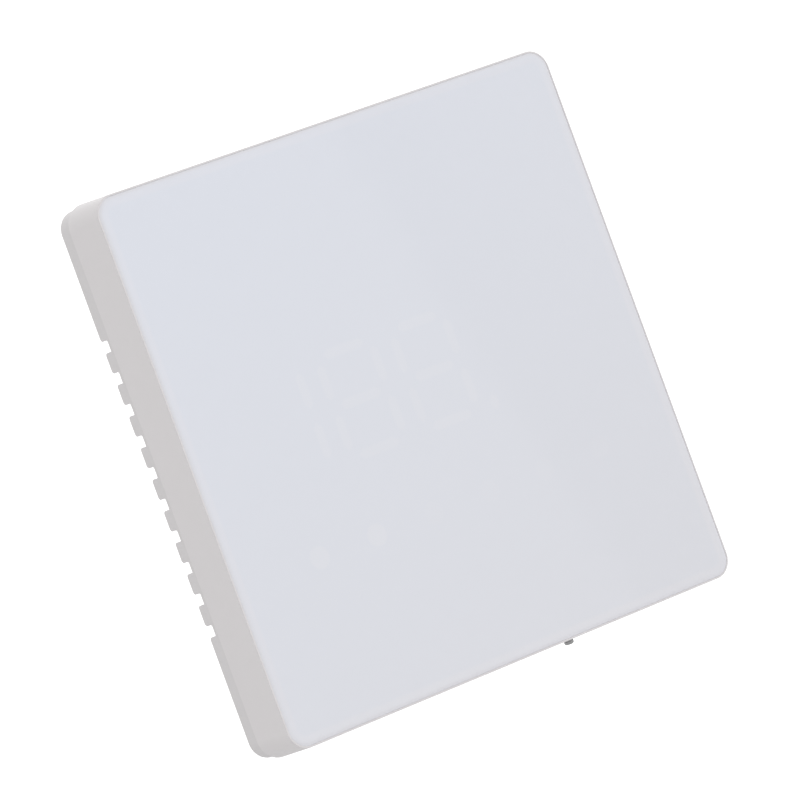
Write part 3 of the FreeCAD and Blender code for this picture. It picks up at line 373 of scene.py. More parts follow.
WHITE_SHELL = (0.788, 0.762, 0.769)
WHITE_PLATE = (0.738, 0.716, 0.722)


def make_materials():
    return {
        "shell": moulded_plastic("shell_plastic", WHITE_SHELL),
        "plate": moulded_plastic("plate_plastic", WHITE_PLATE, 0.46, 0.15 * MM),
        "panel": panel_acrylic(),
        "tape": film("adhesive_tape", (0.80, 0.80, 0.78), 0.9, 0.6),
        "foil": film("foil_film", (0.86, 0.83, 0.70), 0.45, 0.15),
        "diffuser": film("diffuser_film", (0.92, 0.92, 0.92), 0.6, 0.5),
        "reflector": moulded_plastic("reflector_plastic", (0.86, 0.86, 0.85), 0.3, 0.3 * MM, 0.003 * MM),
        "lens": film("led_lens", (0.90, 0.86, 0.62), 0.7, 0.2),
        "board": board_laminate(),
        "epoxy": ceramic("chip_plastic", (0.035, 0.035, 0.038), 0.55, 0.2, 9000.0),
        "ferrite": ceramic("ferrite", (0.09, 0.09, 0.095), 0.6, 0.25),
        "can": metal("crystal_can", (0.72, 0.72, 0.70), 0.22, (1, 1, 12)),
        "ceramic": ceramic("capacitor_ceramic", (0.46, 0.33, 0.20), 0.4, 0.08),
        "film_resistor": ceramic("resistor_black", (0.03, 0.03, 0.035), 0.3, 0.1),
        "solder": metal("plated_ends", (0.68, 0.68, 0.70), 0.3),
        "gold": metal("gold_contact", (0.83, 0.60, 0.25), 0.2),
        "switch": moulded_plastic("switch_plastic", (0.05, 0.05, 0.055), 0.4, 0.1 * MM),
        "plunger": moulded_plastic("plunger_plastic", (0.62, 0.08, 0.06), 0.3, 0.2 * MM, 0.003 * MM),
        "terminal": moulded_plastic("terminal_plastic", (0.085, 0.092, 0.10), 0.5, 0.1 * MM),
        "plated": metal("plated_steel", (0.66, 0.66, 0.64), 0.28),
        "spring": metal("spring_bronze", (0.78, 0.60, 0.36), 0.22, (8, 1, 1)),
        "brass": metal("brass_insert", (0.76, 0.58, 0.26), 0.25, (1, 1, 10)),
        "steel": metal("screw_steel", (0.40, 0.40, 0.40), 0.24, (1, 1, 12)),
    }


# ---------------------------------------------------------------- pieces made from the CAD nodes

def new_piece(name, mesh, node, materials, replaced=()):
    """Link a mesh that rides on a CAD node's body and stands for the nodes in `replaced`."""
    piece = bpy.data.objects.new(name, mesh)
    bpy.context.scene.collection.objects.link(piece)
    for material in materials:
        mesh.materials.append(MATERIALS[material])
    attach(piece, BODY_OF[node])
    if replaced:
        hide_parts(*replaced)
    return piece


def cleaned_copy(node):
    """Copy of a CAD node's mesh, with its flat faces whole again, as a bmesh."""
    work = bmesh.new()
    work.from_mesh(NODES[node].data)
    bmesh.ops.remove_doubles(work, verts=work.verts, dist=0.0005 * MM)
    bmesh.ops.dissolve_limit(work, angle_limit=math.radians(0.5), verts=work.verts, edges=work.edges)
    return work


def mesh_from(work, name, smooth_below):
    """Finish a bmesh as a mesh that is smooth where its faces meet at less than an angle in degrees."""
    mesh = bpy.data.meshes.new(name)
    work.to_mesh(mesh)
    work.free()
    mesh.polygons.foreach_set("use_smooth", [True] * len(mesh.polygons))
    mesh.set_sharp_from_angle(angle=math.radians(smooth_below))
    return mesh


def soften(node, material, bevel, segments=2):
    """Stand-in for a CAD node with small rounded edges, as it leaves its mould or press."""
    mesh = mesh_from(cleaned_copy(node), f"{node}_mesh", 180.0)
    piece = new_piece(f"{node}_finished", mesh, node, [material], [node])
    rounding = piece.modifiers.new("rounded edges", "BEVEL")
    rounding.width = bevel
    rounding.segments = segments
    rounding.limit_method = "ANGLE"
    rounding.angle_limit = math.radians(35)
    rounding.loop_slide = False
    flatness = piece.modifiers.new("flat faces", "WEIGHTED_NORMAL")
    flatness.weight = 100


def solid_boxes(node):
    """Lowest and highest corner of each separate solid of a CAD node, from left to right."""
    work = cleaned_copy(node)
    unseen = set(work.verts)
    boxes = []
    while unseen:
        stack = [unseen.pop()]
        corners = []
        while stack:
            vert = stack.pop()
            corners.append(vert.co.copy())
            joined = {edge.other_vert(vert) for edge in vert.link_edges} & unseen
            unseen -= joined
            stack.extend(joined)
        boxes.append(tuple(Vector(extreme(values) for values in zip(*corners)) for extreme in (min, max)))
    work.free()
    return sorted(boxes, key=lambda box: (round(box[0].x, 6), round(box[0].z, 6)))


# ---------------------------------------------------------------- building new meshes

class Builder:
    """Mesh built from blocks, turned shapes and bent strips.

    Local places are (u, v, w): u runs along X, v along Z, and w stands out of a base plane, towards
    the wall or towards the front. A Builder that stands upright has v along Y and w along Z.
    """

    def __init__(self):
        self.work = bmesh.new()
        self.frame = Matrix.Identity(4)

    def stand(self, origin, towards_wall=True):
        out = 1 if towards_wall else -1
        turn = Matrix(((1, 0, 0, 0), (0, 0, out, 0), (0, 1, 0, 0), (0, 0, 0, 1)))
        self.frame = Matrix.Translation(origin) @ turn

    def stand_on(self, box, towards_wall=True):
        """Stand in the middle of a box's base. Gives half its width, half its depth and its height."""
        low, high = box
        base = low.y if towards_wall else high.y
        self.stand(((low.x + high.x) / 2, base, (low.z + high.z) / 2), towards_wall)
        return (high.x - low.x) / 2, (high.z - low.z) / 2, high.y - low.y

    def stand_upright_on(self, box):
        """Stand on the lower end of an upright round piece. Gives its radius and its length."""
        low, high = box
        self.frame = Matrix.Translation(((low.x + high.x) / 2, (low.y + high.y) / 2, low.z))
        return (high.x - low.x) / 2, high.z - low.z

    def vert(self, u, v, w):
        return self.work.verts.new(self.frame @ Vector((u, v, w)))

    def block(self, low, high, bevel, index=0):
        """Box between two local corners, with rounded edges."""
        verts = [self.vert(u, v, w) for w in (low[2], high[2]) for v in (low[1], high[1])
                 for u in (low[0], high[0])]
        rings = ((0, 1, 3, 2), (4, 6, 7, 5), (0, 4, 5, 1), (1, 5, 7, 3), (3, 7, 6, 2), (2, 6, 4, 0))
        faces = [self.work.faces.new([verts[corner] for corner in ring]) for ring in rings]
        for face in faces:
            face.material_index = index
        edges = {edge for face in faces for edge in face.edges}
        bmesh.ops.bevel(self.work, geom=list(edges), offset=bevel, segments=2, profile=0.5,
                        affect="EDGES", clamp_overlap=True, material=index)

    def slab(self, half_u, half_v, bottom, top, bevel, index=0, centre=(0, 0)):
        """Block round a local place."""
        u, v = centre
        self.block((u - half_u, v - half_v, bottom), (u + half_u, v + half_v, top), bevel, index)

    def ends(self, reach, depth, half_across, bottom, top, bevel, index, along_u=True, middle=0.0):
        """The same block at both ends of a body, from its reach inwards by its depth."""
        for side in (-1, 1):
            near, far = sorted((side * reach, side * (reach - depth)))
            corners = [(near, middle - half_across, bottom), (far, middle + half_across, top)]
            if not along_u:
                corners = [(v, u, w) for u, v, w in corners]
            self.block(*corners, bevel, index)

    def join(self, rings, closed, index=0):
        """Faces between one ring of vertices and the next. A ring may be a single point."""
        steps = max(len(ring) for ring in rings)
        pairs = list(zip(rings, rings[1:]))
        if closed:
            pairs.append((rings[-1], rings[0]))
        for first, second in pairs:
            for step in range(steps):
                following = (step + 1) % steps
                corners = [first[step % len(first)], first[following % len(first)],
                           second[following % len(second)], second[step % len(second)]]
                self.work.faces.new(list(dict.fromkeys(corners))).material_index = index

    def turned(self, profile, centre=(0, 0), index=0, steps=24, closed=False):
        """Shape turned about w through the profile's (radius, w) points, where a radius may be a
        function of the angle. A closed profile makes a ring."""
        rings = []
        for radius, height in profile:
            ring = []
            for step in range(1 if radius == 0 else steps):
                angle = 2 * math.pi * step / steps
                reach = radius(angle) if callable(radius) else radius
                ring.append(self.vert(centre[0] + reach * math.cos(angle),
                                      centre[1] + reach * math.sin(angle), height))
            rings.append(ring)
        self.join(rings, closed, index)

    def strip(self, start, heading, path, width, thickness, index=0):
        """Flat strip bent along a path of (distance, w) points, in the direction of its heading."""
        sideways = Vector((-heading[1], heading[0])) * width / 2
        rows = []
        for number, (distance, height) in enumerate(path):
            before = Vector(path[max(number - 1, 0)])
            after = Vector(path[min(number + 1, len(path) - 1)])
            along_path = (after - before).normalized()
            normal = Vector((-along_path[1], along_path[0])) * thickness / 2
            row = []
            for side, level in ((-1, -1), (1, -1), (1, 1), (-1, 1)):
                reach = distance + level * normal[0]
                row.append(self.vert(start[0] + heading[0] * reach + side * sideways[0],
                                     start[1] + heading[1] * reach + side * sideways[1],
                                     height + level * normal[1]))
            rows.append(row)
        self.join(rows, False, index)
        for corners in (rows[0][::-1], rows[-1]):
            self.work.faces.new(corners).material_index = index

    def piece(self, name, node, materials, replaced=True, smooth_below=35.0):
        bmesh.ops.recalc_face_normals(self.work, faces=self.work.faces)
        mesh = mesh_from(self.work, f"{name}_mesh", smooth_below)
        new_piece(name, mesh, node, materials, [node] if replaced else ())


def spaced(first, last, count):
    return [first + (last - first) * step / (count - 1) for step in range(count)]


def centred(count, pitch):
    return [(step - (count - 1) / 2) * pitch for step in range(count)]


# ---------------------------------------------------------------- front panel and its display

PANEL_FALL_WIDTH = 0.75 * MM     # how far in the front starts to fall away, and by how much it falls
PANEL_FALL = 0.07 * MM
PANEL_SWELL = 0.02 * MM          # how far its moulded edge stands into the seam round it
PANEL_CHAMFER = 0.05 * MM        # on the edge of its back


def rounded_square(half, corner, steps=16):
    """Outline of a square with round corners, as points in order."""
    middle = half - corner
    points = []
    for x_side, z_side, start in ((1, 1, 0), (-1, 1, 90), (-1, -1, 180), (1, -1, 270)):
        for angle in spaced(start * DEGREE, (start + 90) * DEGREE, steps + 1):
            points.append((x_side * middle + corner * math.cos(angle),
                           z_side * middle + corner * math.sin(angle)))
    return points


def make_front_panel():
    """Acrylic panel whose front falls away gently towards its edges, like a watch glass."""
    panel = Builder()
    half, _, thickness = panel.stand_on(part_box("front_panel"), towards_wall=False)
    half += PANEL_SWELL
    fall = [(PANEL_FALL_WIDTH * (1 - math.cos(angle)), thickness - PANEL_FALL * (1 - math.sin(angle)))
            for angle in spaced(0, math.pi / 2, 9)]
    loops = []
    for inset, height in [(PANEL_CHAMFER, 0.0), (0.0, PANEL_CHAMFER), *fall]:
        outline = rounded_square(half - inset, PANEL_CORNER - inset)
        loops.append([panel.vert(u, v, height) for u, v in outline])
    panel.join(loops, False)
    panel.work.faces.new(loops[0])
    panel.work.faces.new(loops[-1])
    panel.piece("front_panel_face", "front_panel", ["panel"])


def make_touch_foil():
    """Foil with its tail bent down to the connector, and silver tracks along the tail."""
    low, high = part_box("touch_foil")
    plug_low, plug_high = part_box("foil_connector")
    front, tail_z = high.y - low.y, (plug_low.z + plug_high.z) / 2
    thickness, bend, tracks = 0.15 * MM, 0.45 * MM, 8
    foil = Builder()
    foil.stand((0, high.y, 0), towards_wall=False)
    foil.block((low.x, low.z, front - thickness), (high.x, high.z, front), 0.03 * MM)

    turn = [(tail_z - bend + bend * math.sin(angle),
             front - 1.5 * thickness - bend + bend * math.cos(angle))
            for angle in spaced(0, math.pi / 2, 6)]
    tail = [(tail_z - 4 * bend, turn[0][1]), *turn, (tail_z, -0.4 * MM)]
    width = (plug_high.x - plug_low.x) * 0.8
    foil.strip((0, 0), (0, 1), tail, width, thickness)
    tail_top = [(place, height + 0.08 * MM) for place, height in tail[:2]]
    for offset in centred(tracks, width / (tracks + 0.5)):
        foil.strip((offset, 0), (0, 1), tail_top, 0.35 * MM, 0.02 * MM, 1)
    foil.piece("touch_foil_sheet", "touch_foil", ["foil", "solder"])


def make_foil_connector():
    """Low socket with a flip latch and a row of solder tails."""
    socket = Builder()
    half_u, half_v, tall = socket.stand_on(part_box("foil_connector"), towards_wall=False)
    ground, rounding = 0.1 * MM, 0.06 * MM
    socket.block((-half_u, -half_v, ground), (half_u, -0.1 * MM, tall), rounding)
    socket.block((-half_u, 0.25 * MM, ground), (half_u, half_v, tall * 0.7), rounding)
    socket.ends(half_u, 0.5 * MM, half_v, 0.05 * MM, tall * 0.85, 0.05 * MM, 0)
    latch = half_u * 0.92
    socket.block((-latch, 0.3 * MM, tall * 0.7), (latch, 1.0 * MM, tall * 0.98), 0.08 * MM, 1)
    tail = [(-0.2 * MM, 0.3 * MM), (0.0, 0.25 * MM), (0.1 * MM, 0.06 * MM), (0.35 * MM, 0.06 * MM)]
    for offset in centred(8, 1.0 * MM):
        socket.strip((offset, -half_v), (0, -1), tail, 0.3 * MM, 0.1 * MM, 2)
    socket.piece("foil_connector_socket", "foil_connector", ["terminal", "epoxy", "solder"])


def make_leds(node):
    """Side-by-side LED packages: white cup, soft lens and two plated ends."""
    lens_size = 0.72                 # as a part of the cup's size
    leds = Builder()
    for box in solid_boxes(node):
        half_u, half_v, tall = leds.stand_on(box, towards_wall=False)
        leds.slab(half_u, half_v, 0.1 * MM, tall * 0.7, 0.04 * MM)
        leds.slab(half_u * lens_size, half_v * lens_size, tall * 0.6, tall, 0.12 * MM, 1)
        reach, across = max(half_u, half_v), min(half_u, half_v)
        leds.ends(reach, 0.22 * MM, across * 0.9, 0.0, 0.16 * MM, 0.02 * MM, 2, along_u=half_u >= half_v)
    leds.piece(f"{node}_packages", node, ["reflector", "lens", "solder"])


def make_display_layers():
    soften("panel_tape", "tape", 0.03 * MM, 1)
    soften("display_diffuser", "diffuser", 0.03 * MM, 1)
    soften("display_reflector", "reflector", 0.12 * MM)
    make_touch_foil()
    make_foil_connector()
    make_leds("segment_leds")
    make_leds("key_leds")


# ---------------------------------------------------------------- main board and its components

# Leads on the sides that face along X and on those that face along Z
CHIP_LEADS = {"microcontroller": (12, 12), "led_driver": (10, 0), "bus_transceiver": (4, 0),
              "voltage_regulator": (0, 3), "touch_controller": (0, 0)}
LEAD_REACH = 0.75 * MM
LEAD_THICKNESS = 0.12 * MM
WIDEST_LEAD = 0.7 * MM


def lead_row(chip, count, half_reach, half_row, middle, heading):
    """Gull-wing leads along one side of a chip, bent down to the board."""
    pitch = 2 * half_row / (count + 0.6)
    foot = LEAD_THICKNESS / 2
    path = [(-0.1 * MM, middle), (LEAD_REACH * 0.25, middle), (LEAD_REACH * 0.45, middle * 0.75),
            (LEAD_REACH * 0.55, foot * 2), (LEAD_REACH * 0.65, foot), (LEAD_REACH, foot)]
    for offset in centred(count, pitch):
        start = Vector(heading) * half_reach + Vector((-heading[1], heading[0])) * offset
        chip.strip(start, heading, path, min(0.45 * pitch, WIDEST_LEAD), LEAD_THICKNESS, 1)


def leadless_pads(chip, half_u):
    """Pads of a flat package, which just show at its two sides."""
    for side in (-1, 1):
        for offset in centred(6, 0.65 * MM):
            chip.slab(0.1 * MM, 0.12 * MM, 0.0, 0.2 * MM, 0.02 * MM, 1, (side * half_u * 0.98, offset))


def make_chip(node):
    """Chip in its package, with a ring beside its first pin."""
    leads_x, leads_z = CHIP_LEADS[node]
    chip = Builder()
    half_u, half_v, tall = chip.stand_on(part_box(node))
    half_u -= LEAD_REACH if leads_x else 0.02 * MM
    half_v -= LEAD_REACH if leads_z else 0.02 * MM
    chip.slab(half_u, half_v, 0.08 * MM, tall, 0.09 * MM)
    for side in (-1, 1):
        if leads_x:
            lead_row(chip, leads_x, half_u, half_v, tall / 2, (side, 0))
        if leads_z:
            is_tab_side = node == "voltage_regulator" and side > 0
            lead_row(chip, 1 if is_tab_side else leads_z, half_v, half_u, tall / 2, (0, side))
    if not leads_x and not leads_z:
        leadless_pads(chip, half_u)
    ring, sunk, proud = 0.3 * MM, tall - 0.01 * MM, tall + 0.005 * MM
    chip.turned([(ring, sunk), (ring, proud), (ring * 0.8, proud), (ring * 0.7, sunk)],
                (-half_u + 2.5 * ring, half_v - 2.5 * ring), 1, 16)
    chip.piece(f"{node}_package", node, ["epoxy", "solder"])


def make_two_pole(node, body_material):
    """Capacitors or resistors: a body with plated caps on its two ends."""
    inner = 0.03 * MM
    poles = Builder()
    for box in solid_boxes(node):
        half_u, half_v, tall = poles.stand_on(box)
        cap = half_u * 0.4
        poles.slab(half_u - cap * 0.8, half_v - inner, inner, tall - inner, 0.03 * MM)
        poles.ends(half_u, cap, half_v, 0.0, tall, 0.08 * MM, 1)
    poles.piece(f"{node}_bodies", node, [body_material, "solder"])


def make_inductor():
    """Shielded power inductor: chamfered ferrite shell with a round core, and two plated ends."""
    coil = Builder()
    half, _, tall = coil.stand_on(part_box("power_inductor"))
    coil.slab(half * 0.97, half, 0.12 * MM, tall * 0.94, 0.35 * MM)
    rim = [(half * 0.80, tall * 0.9), (half * 0.80, tall * 0.96), (half * 0.76, tall),
           (half * 0.60, tall), (half * 0.56, tall * 0.9)]
    core = [(half * 0.52, tall * 0.88), (half * 0.52, tall * 0.98), (half * 0.47, tall), (0, tall)]
    coil.turned(rim, steps=40, closed=True)
    coil.turned(core, steps=40)
    coil.ends(half, 0.5 * MM, half * 0.5, 0.0, 0.9 * MM, 0.05 * MM, 1)
    coil.piece("power_inductor_shield", "power_inductor", ["ferrite", "solder"])


def make_crystal():
    """Crystal: ceramic base with a drawn metal lid."""
    can = Builder()
    half_u, half_v, tall = can.stand_on(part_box("quartz_crystal"))
    can.slab(half_u, half_v, 0.0, tall * 0.45, 0.05 * MM, 1)
    can.slab(half_u * 0.93, half_v * 0.91, tall * 0.4, tall * 0.62, 0.04 * MM)
    can.slab(half_u * 0.84, half_v * 0.80, tall * 0.55, tall, 0.14 * MM)
    can.piece("quartz_crystal_can", "quartz_crystal", ["can", "epoxy"])


def make_temperature_sensor():
    """Sensor package with a round air port in its top and pads at its sides."""
    sensor = Builder()
    half, _, tall = sensor.stand_on(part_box("temperature_sensor"))
    sensor.slab(half * 0.97, half, 0.0, tall * 0.9, 0.08 * MM)
    port = [(half * 0.55, tall * 0.88), (half * 0.55, tall), (half * 0.40, tall), (half * 0.36, tall * 0.8)]
    sensor.turned(port, steps=32, closed=True, index=1)
    for offset in centred(3, 0.8 * MM):
        sensor.ends(half, 0.12 * MM, 0.15 * MM, 0.0, 0.25 * MM, 0.02 * MM, 1, middle=offset)
    sensor.piece("temperature_sensor_package", "temperature_sensor", ["epoxy", "solder"])


def make_contact_pads():
    pads = Builder()
    for box in solid_boxes("contact_pads"):
        half_u, half_v, tall = pads.stand_on(box)
        pads.slab(half_u, half_v, 0.0, tall, 0.015 * MM)
    pads.piece("contact_pads_gold", "contact_pads", ["gold"])


def make_reset_switch():
    """Tactile switch: moulded base, and the corner tabs of its pressed steel cover."""
    soften("reset_switch", "switch", 0.08 * MM)
    cover = Builder()
    half, _, tall = cover.stand_on(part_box("reset_switch"))
    gap, thickness = 0.05 * MM, 0.08 * MM
    tab = [(-0.6 * MM, tall - gap), (0.0, tall - gap), (gap, tall * 0.8), (gap, 0.1 * MM)]
    for side in (-1, 1):
        for corner in (-1, 1):
            start = (side * (half - 0.06 * MM), corner * half * 0.7)
            cover.strip(start, (side, 0), tab, 0.7 * MM, thickness)
    cover.piece("reset_switch_cover", "reset_switch", ["plated"], replaced=False)


def make_reset_plunger():
    """Round plunger with a softly domed and dished top."""
    plunger = Builder()
    radius, _, length = plunger.stand_on(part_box("reset_plunger"))
    profile = [(0, 0), (radius * 0.9, 0), (radius, 0.08 * MM), (radius, length - 0.3 * MM),
               (radius * 0.97, length - 0.14 * MM), (radius * 0.86, length - 0.04 * MM),
               (radius * 0.7, length), (radius * 0.35, length - 0.03 * MM), (0, length - 0.05 * MM)]
    plunger.turned(profile, steps=40)
    plunger.piece("reset_plunger_cap", "reset_plunger", ["plunger"])


def make_board():
    soften("main_board", "board", 0.04 * MM, 1)
    for node in CHIP_LEADS:
        make_chip(node)
    make_two_pole("capacitors", "ceramic")
    make_two_pole("resistors", "film_resistor")
    make_inductor()
    make_crystal()
    make_temperature_sensor()
    make_contact_pads()
    make_reset_switch()
    make_reset_plunger()


# ---------------------------------------------------------------- terminals

def spring_path(length, rise, thickness):
    """Path of a contact spring: flat foot, round bend back over it, and a crown that meets the pad."""
    foot, bend, bend_height, crown_height = thickness / 2, 0.35 * MM, 0.3 * MM, 0.1 * MM
    lower = [(bend - bend * math.cos(angle), rise / 2 - bend_height * math.sin(angle))
             for angle in spaced(math.pi / 2, 0, 5)]
    upper = [(place, rise - height) for place, height in lower[::-1]]
    crown = [(length * part, rise - thickness * 0.6 - crown_height * (2 * part - 1) ** 2)
             for part in spaced(0.2, 0.68, 6)]
    return [(length, foot), (length * 0.5, foot), (0.4 * MM, foot),
            *[(place, max(height, foot)) for place, height in lower],
            *[(place, min(height, rise - thickness)) for place, height in upper], *crown]


def make_contact_springs():
    thickness = 0.2 * MM
    springs = Builder()
    for low, high in solid_boxes("contact_springs"):
        springs.stand(((low.x + high.x) / 2, high.y, low.z), towards_wall=False)
        path = spring_path(high.z - low.z, high.y - low.y, thickness)
        springs.strip((0, 0), (0, 1), path, (high.x - low.x) * 0.92, thickness * 0.9)
    springs.piece("contact_springs_formed", "contact_springs", ["spring"])


def make_terminals():
    soften("terminal_block", "terminal", 0.1 * MM)
    soften("terminal_cages", "plated", 0.06 * MM)
    soften("terminal_screws", "plated", 0.08 * MM)
    make_contact_springs()


# ---------------------------------------------------------------- screws and insert

def thread_ring(radius, height, pitch, depth):
    """Radius of a V thread at a height, as a function of the angle."""
    def reach(angle):
        return radius - 2 * depth * abs((height / pitch - angle / (2 * math.pi)) % 1 - 0.5)
    return reach


def hexagon_ring(half_width):
    """Radius of a hexagon, from half its width across flats, as a function of the angle."""
    def reach(angle):
        return half_width / math.cos(angle % (math.pi / 3) - math.pi / 6)
    return reach


def knurl_ring(radius, height, length):
    """Radius of a knurled sleeve with a plain groove round its middle, as a function of the angle."""
    teeth, cut, twist = 24, 0.10 * MM, 3 / MM

    def reach(angle):
        in_groove = abs(height - length / 2) < length * 0.1
        return radius - (2 * cut if in_groove else cut * abs(math.sin(angle * teeth / 2 + height * twist)))
    return reach


def make_lock_screw():
    """Set screw with a rolled thread, a rounded end, a hexagon socket and a plain point."""
    screw = Builder()
    radius, length = screw.stand_upright_on(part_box("lock_screw"))
    point_radius, point_length, chamfer = 0.5 * MM, 1.8 * MM, 0.15 * MM
    hexagon, socket_depth = hexagon_ring(0.2 * MM), 0.9 * MM
    pitch, depth, run_out = 0.35 * MM, 0.13 * MM, 0.3 * MM
    shoulder, top = 0.42 * MM, length - point_length

    socket = [(0, socket_depth + chamfer), (hexagon, socket_depth), (hexagon, 0.0)]
    rounded = [(radius - shoulder + shoulder * math.sin(angle), shoulder - shoulder * math.cos(angle))
               for angle in spaced(0, math.pi / 2, 7)]
    threads = []
    for height in spaced(shoulder, top, 90)[1:-1]:
        part = min(1, (height - shoulder) / run_out, (top - height) / run_out)
        threads.append((thread_ring(radius, height, pitch, depth * part), height))
    point = [(radius, top), (point_radius, top + chamfer), (point_radius, length - chamfer),
             (point_radius - chamfer, length), (0, length)]
    screw.turned([*socket, *rounded, *threads, *point], steps=48)
    screw.piece("lock_screw_threaded", "lock_screw", ["steel"], smooth_below=50.0)


def make_lock_insert():
    """Brass insert with a knurled outside, a groove round its middle and a countersunk bore."""
    insert = Builder()
    radius, length = insert.stand_upright_on(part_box("lock_insert"))
    bore, countersink, edge = 0.83 * MM, 0.1 * MM, 0.1 * MM
    outside = [(knurl_ring(radius, height, length), height)
               for height in spaced(0.02 * MM, length - 0.02 * MM, 24)]
    top = [(radius - edge, length), (bore + countersink, length), (bore, length - countersink)]
    bottom = [(bore, countersink), (bore + countersink, 0.0), (radius - edge, 0.0)]
    insert.turned([*outside, *top, *bottom], steps=96, closed=True)
    insert.piece("lock_insert_knurled", "lock_insert", ["brass"])


def make_screws():
    soften("cover_screws", "plated", 0.05 * MM)
    make_lock_insert()
    make_lock_screw()


# ---------------------------------------------------------------- shells

def make_ejector_marks():
    """Faint round witness marks that the mould's ejector pins leave on the plate's rear."""
    low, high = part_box("wall_plate")
    floor_depth, sunk, proud = 1.8 * MM, 0.02 * MM, 0.03 * MM
    outer, inner = 2.0 * MM, 1.8 * MM
    ring = [(outer, 0.0), (outer, sunk + proud), (inner + 0.05 * MM, sunk + proud), (inner, 0.0)]
    marks = Builder()
    marks.stand((0, high.y - floor_depth - sunk, 0))
    for x_side in (-1, 0, 1):
        for z_side in (-1, 1):
            centre = (x_side * (high.x - low.x) * 0.33, z_side * (high.z - low.z) * 0.36)
            marks.turned(ring, centre, steps=48, closed=True)
    marks.piece("plate_ejector_marks", "wall_plate", ["plate"], replaced=False)


def make_terminal_rear():
    """Ribs on the terminal block's rear, and the upset ends of the stakes that hold its contacts."""
    low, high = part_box("terminal_block")
    height = high.z - low.z
    ways = [(way_low.x + way_high.x) / 2 for way_low, way_high in solid_boxes("terminal_cages")]
    pitch = ways[1] - ways[0]
    sunk, rise = -0.1 * MM, 0.25 * MM
    stake = [(1.05 * MM, sunk), (1.05 * MM, 0.08 * MM), (0.9 * MM, 0.2 * MM), (0.35 * MM, rise), (0, rise)]
    rear = Builder()
    rear.stand((0, high.y, (low.z + high.z) / 2))
    for edge in centred(len(ways) + 1, pitch):
        rear.slab(0.35 * MM, height * 0.42, sunk, rise, 0.08 * MM, 0, (edge, 0))
    for way in ways:
        for level in (-0.24, 0.24):
            rear.turned(stake, (way, level * height), 1, 32)
    rear.piece("terminal_block_rear", "terminal_block", ["terminal", "plated"], replaced=False)


def make_shells():
    soften("front_housing", "shell", 0.03 * MM)
    soften("wall_plate", "plate", 0.12 * MM)
    soften("back_cover", "plate", 0.12 * MM)
    make_ejector_marks()
    make_terminal_rear()


# ---------------------------------------------------------------- stage and light

SURROUND = 1.121                 # mean brightness of the surround at eye level
SIDEWAYS, FORWARD = 0.36, 0.12   # how it changes towards +X and towards +Y
BELOW, ABOVE = 0.8, -0.2         # how it changes with Z below and above eye level

WINDOW_AZIMUTH = 34.95           # degrees from the front, to the right: where the panel mirrors the camera
WINDOW_ELEVATION = -0.9
WINDOW_LEAN = 11.5               # degrees that the window's edge leans to the left, going up
WINDOW_FULL, WINDOW_END = 4.5, 9.0       # degrees from its middle where it starts to fade and is gone
SKY_TINT = (0.18, 0.56, 1.08)
SKY_LEAN = 30.0                  # degrees from straight up of the way in which the window goes cooler
SKY_LOW, SKY_HIGH = -2.9, 3.7    # degrees from its middle between which it goes from white to sky
SKY_LIGHT, SKY_SPREAD = 0.3, 2.5         # strength of the sky, reached so many degrees past the edge
PANE_LIGHT = 0.32                # extra light on the near side of the window's edge
PANE_EDGE = (-0.1, 0.15)         # degrees across the edge over which that light ends


def surround_light(graph, ray):
    """Plain white studio, brightest from the right and dimmest from below."""
    parts = graph.add("SeparateXYZ", {"Vector": ray}).outputs
    upward = parts["Z"]
    return graph.total(SURROUND, graph.math("MULTIPLY", parts["X"], SIDEWAYS),
                       graph.math("MULTIPLY", parts["Y"], FORWARD),
                       graph.math("MULTIPLY", graph.math("MINIMUM", upward, 0.0), BELOW),
                       graph.math("MULTIPLY", graph.math("MAXIMUM", upward, 0.0), ABOVE))


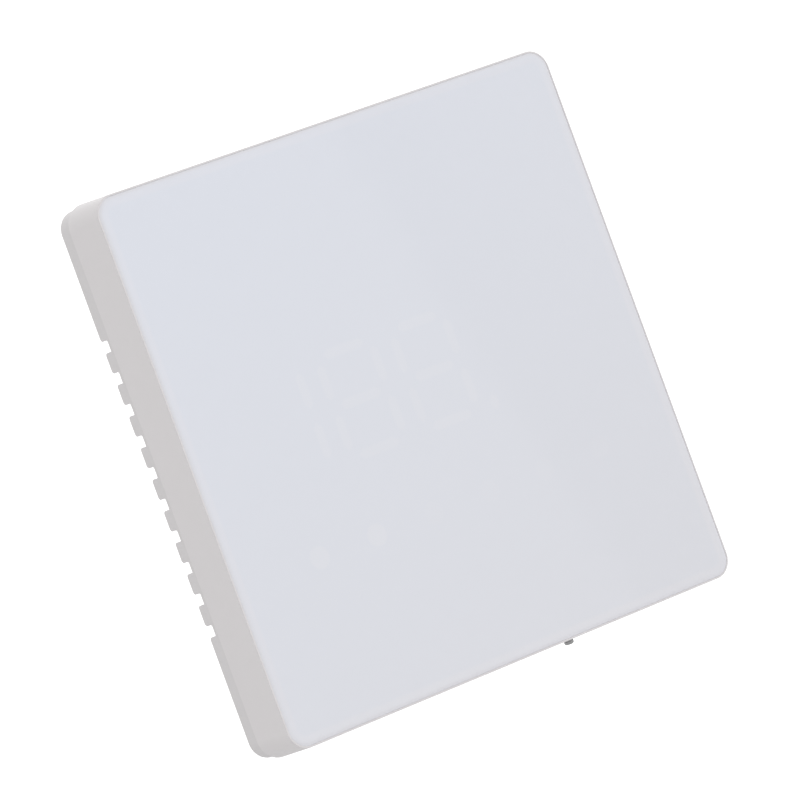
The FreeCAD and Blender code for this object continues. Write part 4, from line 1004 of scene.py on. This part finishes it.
def window_light(graph, ray):
    """One soft cool window to the right, with a straight edge, which the panel mirrors to the left."""
    middle = direction(WINDOW_AZIMUTH, WINDOW_ELEVATION)
    rightwards = Vector((-middle.y, middle.x, 0)).normalized()
    across_edge = Quaternion(middle, WINDOW_LEAN * DEGREE) @ rightwards
    cooler = Quaternion(middle, (90 + SKY_LEAN) * DEGREE) @ rightwards
    inside = graph.ramp(graph.along(ray, middle), math.cos(WINDOW_END * DEGREE),
                        math.cos(WINDOW_FULL * DEGREE), smooth=True)
    sky = graph.ramp(graph.along(ray, cooler), SKY_LOW * DEGREE, SKY_HIGH * DEGREE)
    past_edge = graph.along(ray, across_edge)
    pane = graph.ramp(past_edge, PANE_EDGE[0] * DEGREE, PANE_EDGE[1] * DEGREE, PANE_LIGHT, 0.0, smooth=True)
    beyond = graph.ramp(past_edge, 0.0, SKY_SPREAD * DEGREE, 0.0, SKY_LIGHT)
    tint = graph.mix(sky, rgba((0.0, 0.0, 0.0)), rgba(SKY_TINT))
    lit = graph.grey(graph.total(pane, graph.math("MULTIPLY", beyond, sky)))
    window = graph.add("VectorMath", {0: tint, 1: lit}, operation="ADD").outputs[0]
    return graph.add("VectorMath", {0: window, "Scale": inside}, operation="SCALE").outputs[0]


def make_world():
    world = bpy.data.worlds.new("studio")
    bpy.context.scene.world = world
    graph = Graph(world)
    ray = graph.add("TexCoord").outputs["Generated"]
    surround = graph.grey(surround_light(graph, ray))
    window = window_light(graph, ray)
    radiance = graph.add("VectorMath", {0: surround, 1: window}, operation="ADD").outputs[0]
    background = graph.add("Background", {"Color": radiance, "Strength": 1.0})
    graph.add("OutputWorld", {"Surface": background.outputs[0]})


def make_floor():
    size, height = 3.0, -0.5
    mesh = bpy.data.meshes.new("floor")
    corners = [(-size, -size, height), (size, -size, height), (size, size, height), (-size, size, height)]
    mesh.from_pydata(corners, [], [(0, 1, 2, 3)])
    material, graph = new_material("floor_paint")
    graph.surface(Base_Color=rgba((0.70, 0.70, 0.70)), Roughness=0.7)
    mesh.materials.append(material)
    floor = bpy.data.objects.new("floor", mesh)
    bpy.context.scene.collection.objects.link(floor)


make_camera()
MATERIALS = make_materials()
make_shells()
make_front_panel()
make_display_layers()
make_board()
make_terminals()
make_screws()
make_world()
make_floor()
bpy.context.scene.view_settings.view_transform = "Standard"
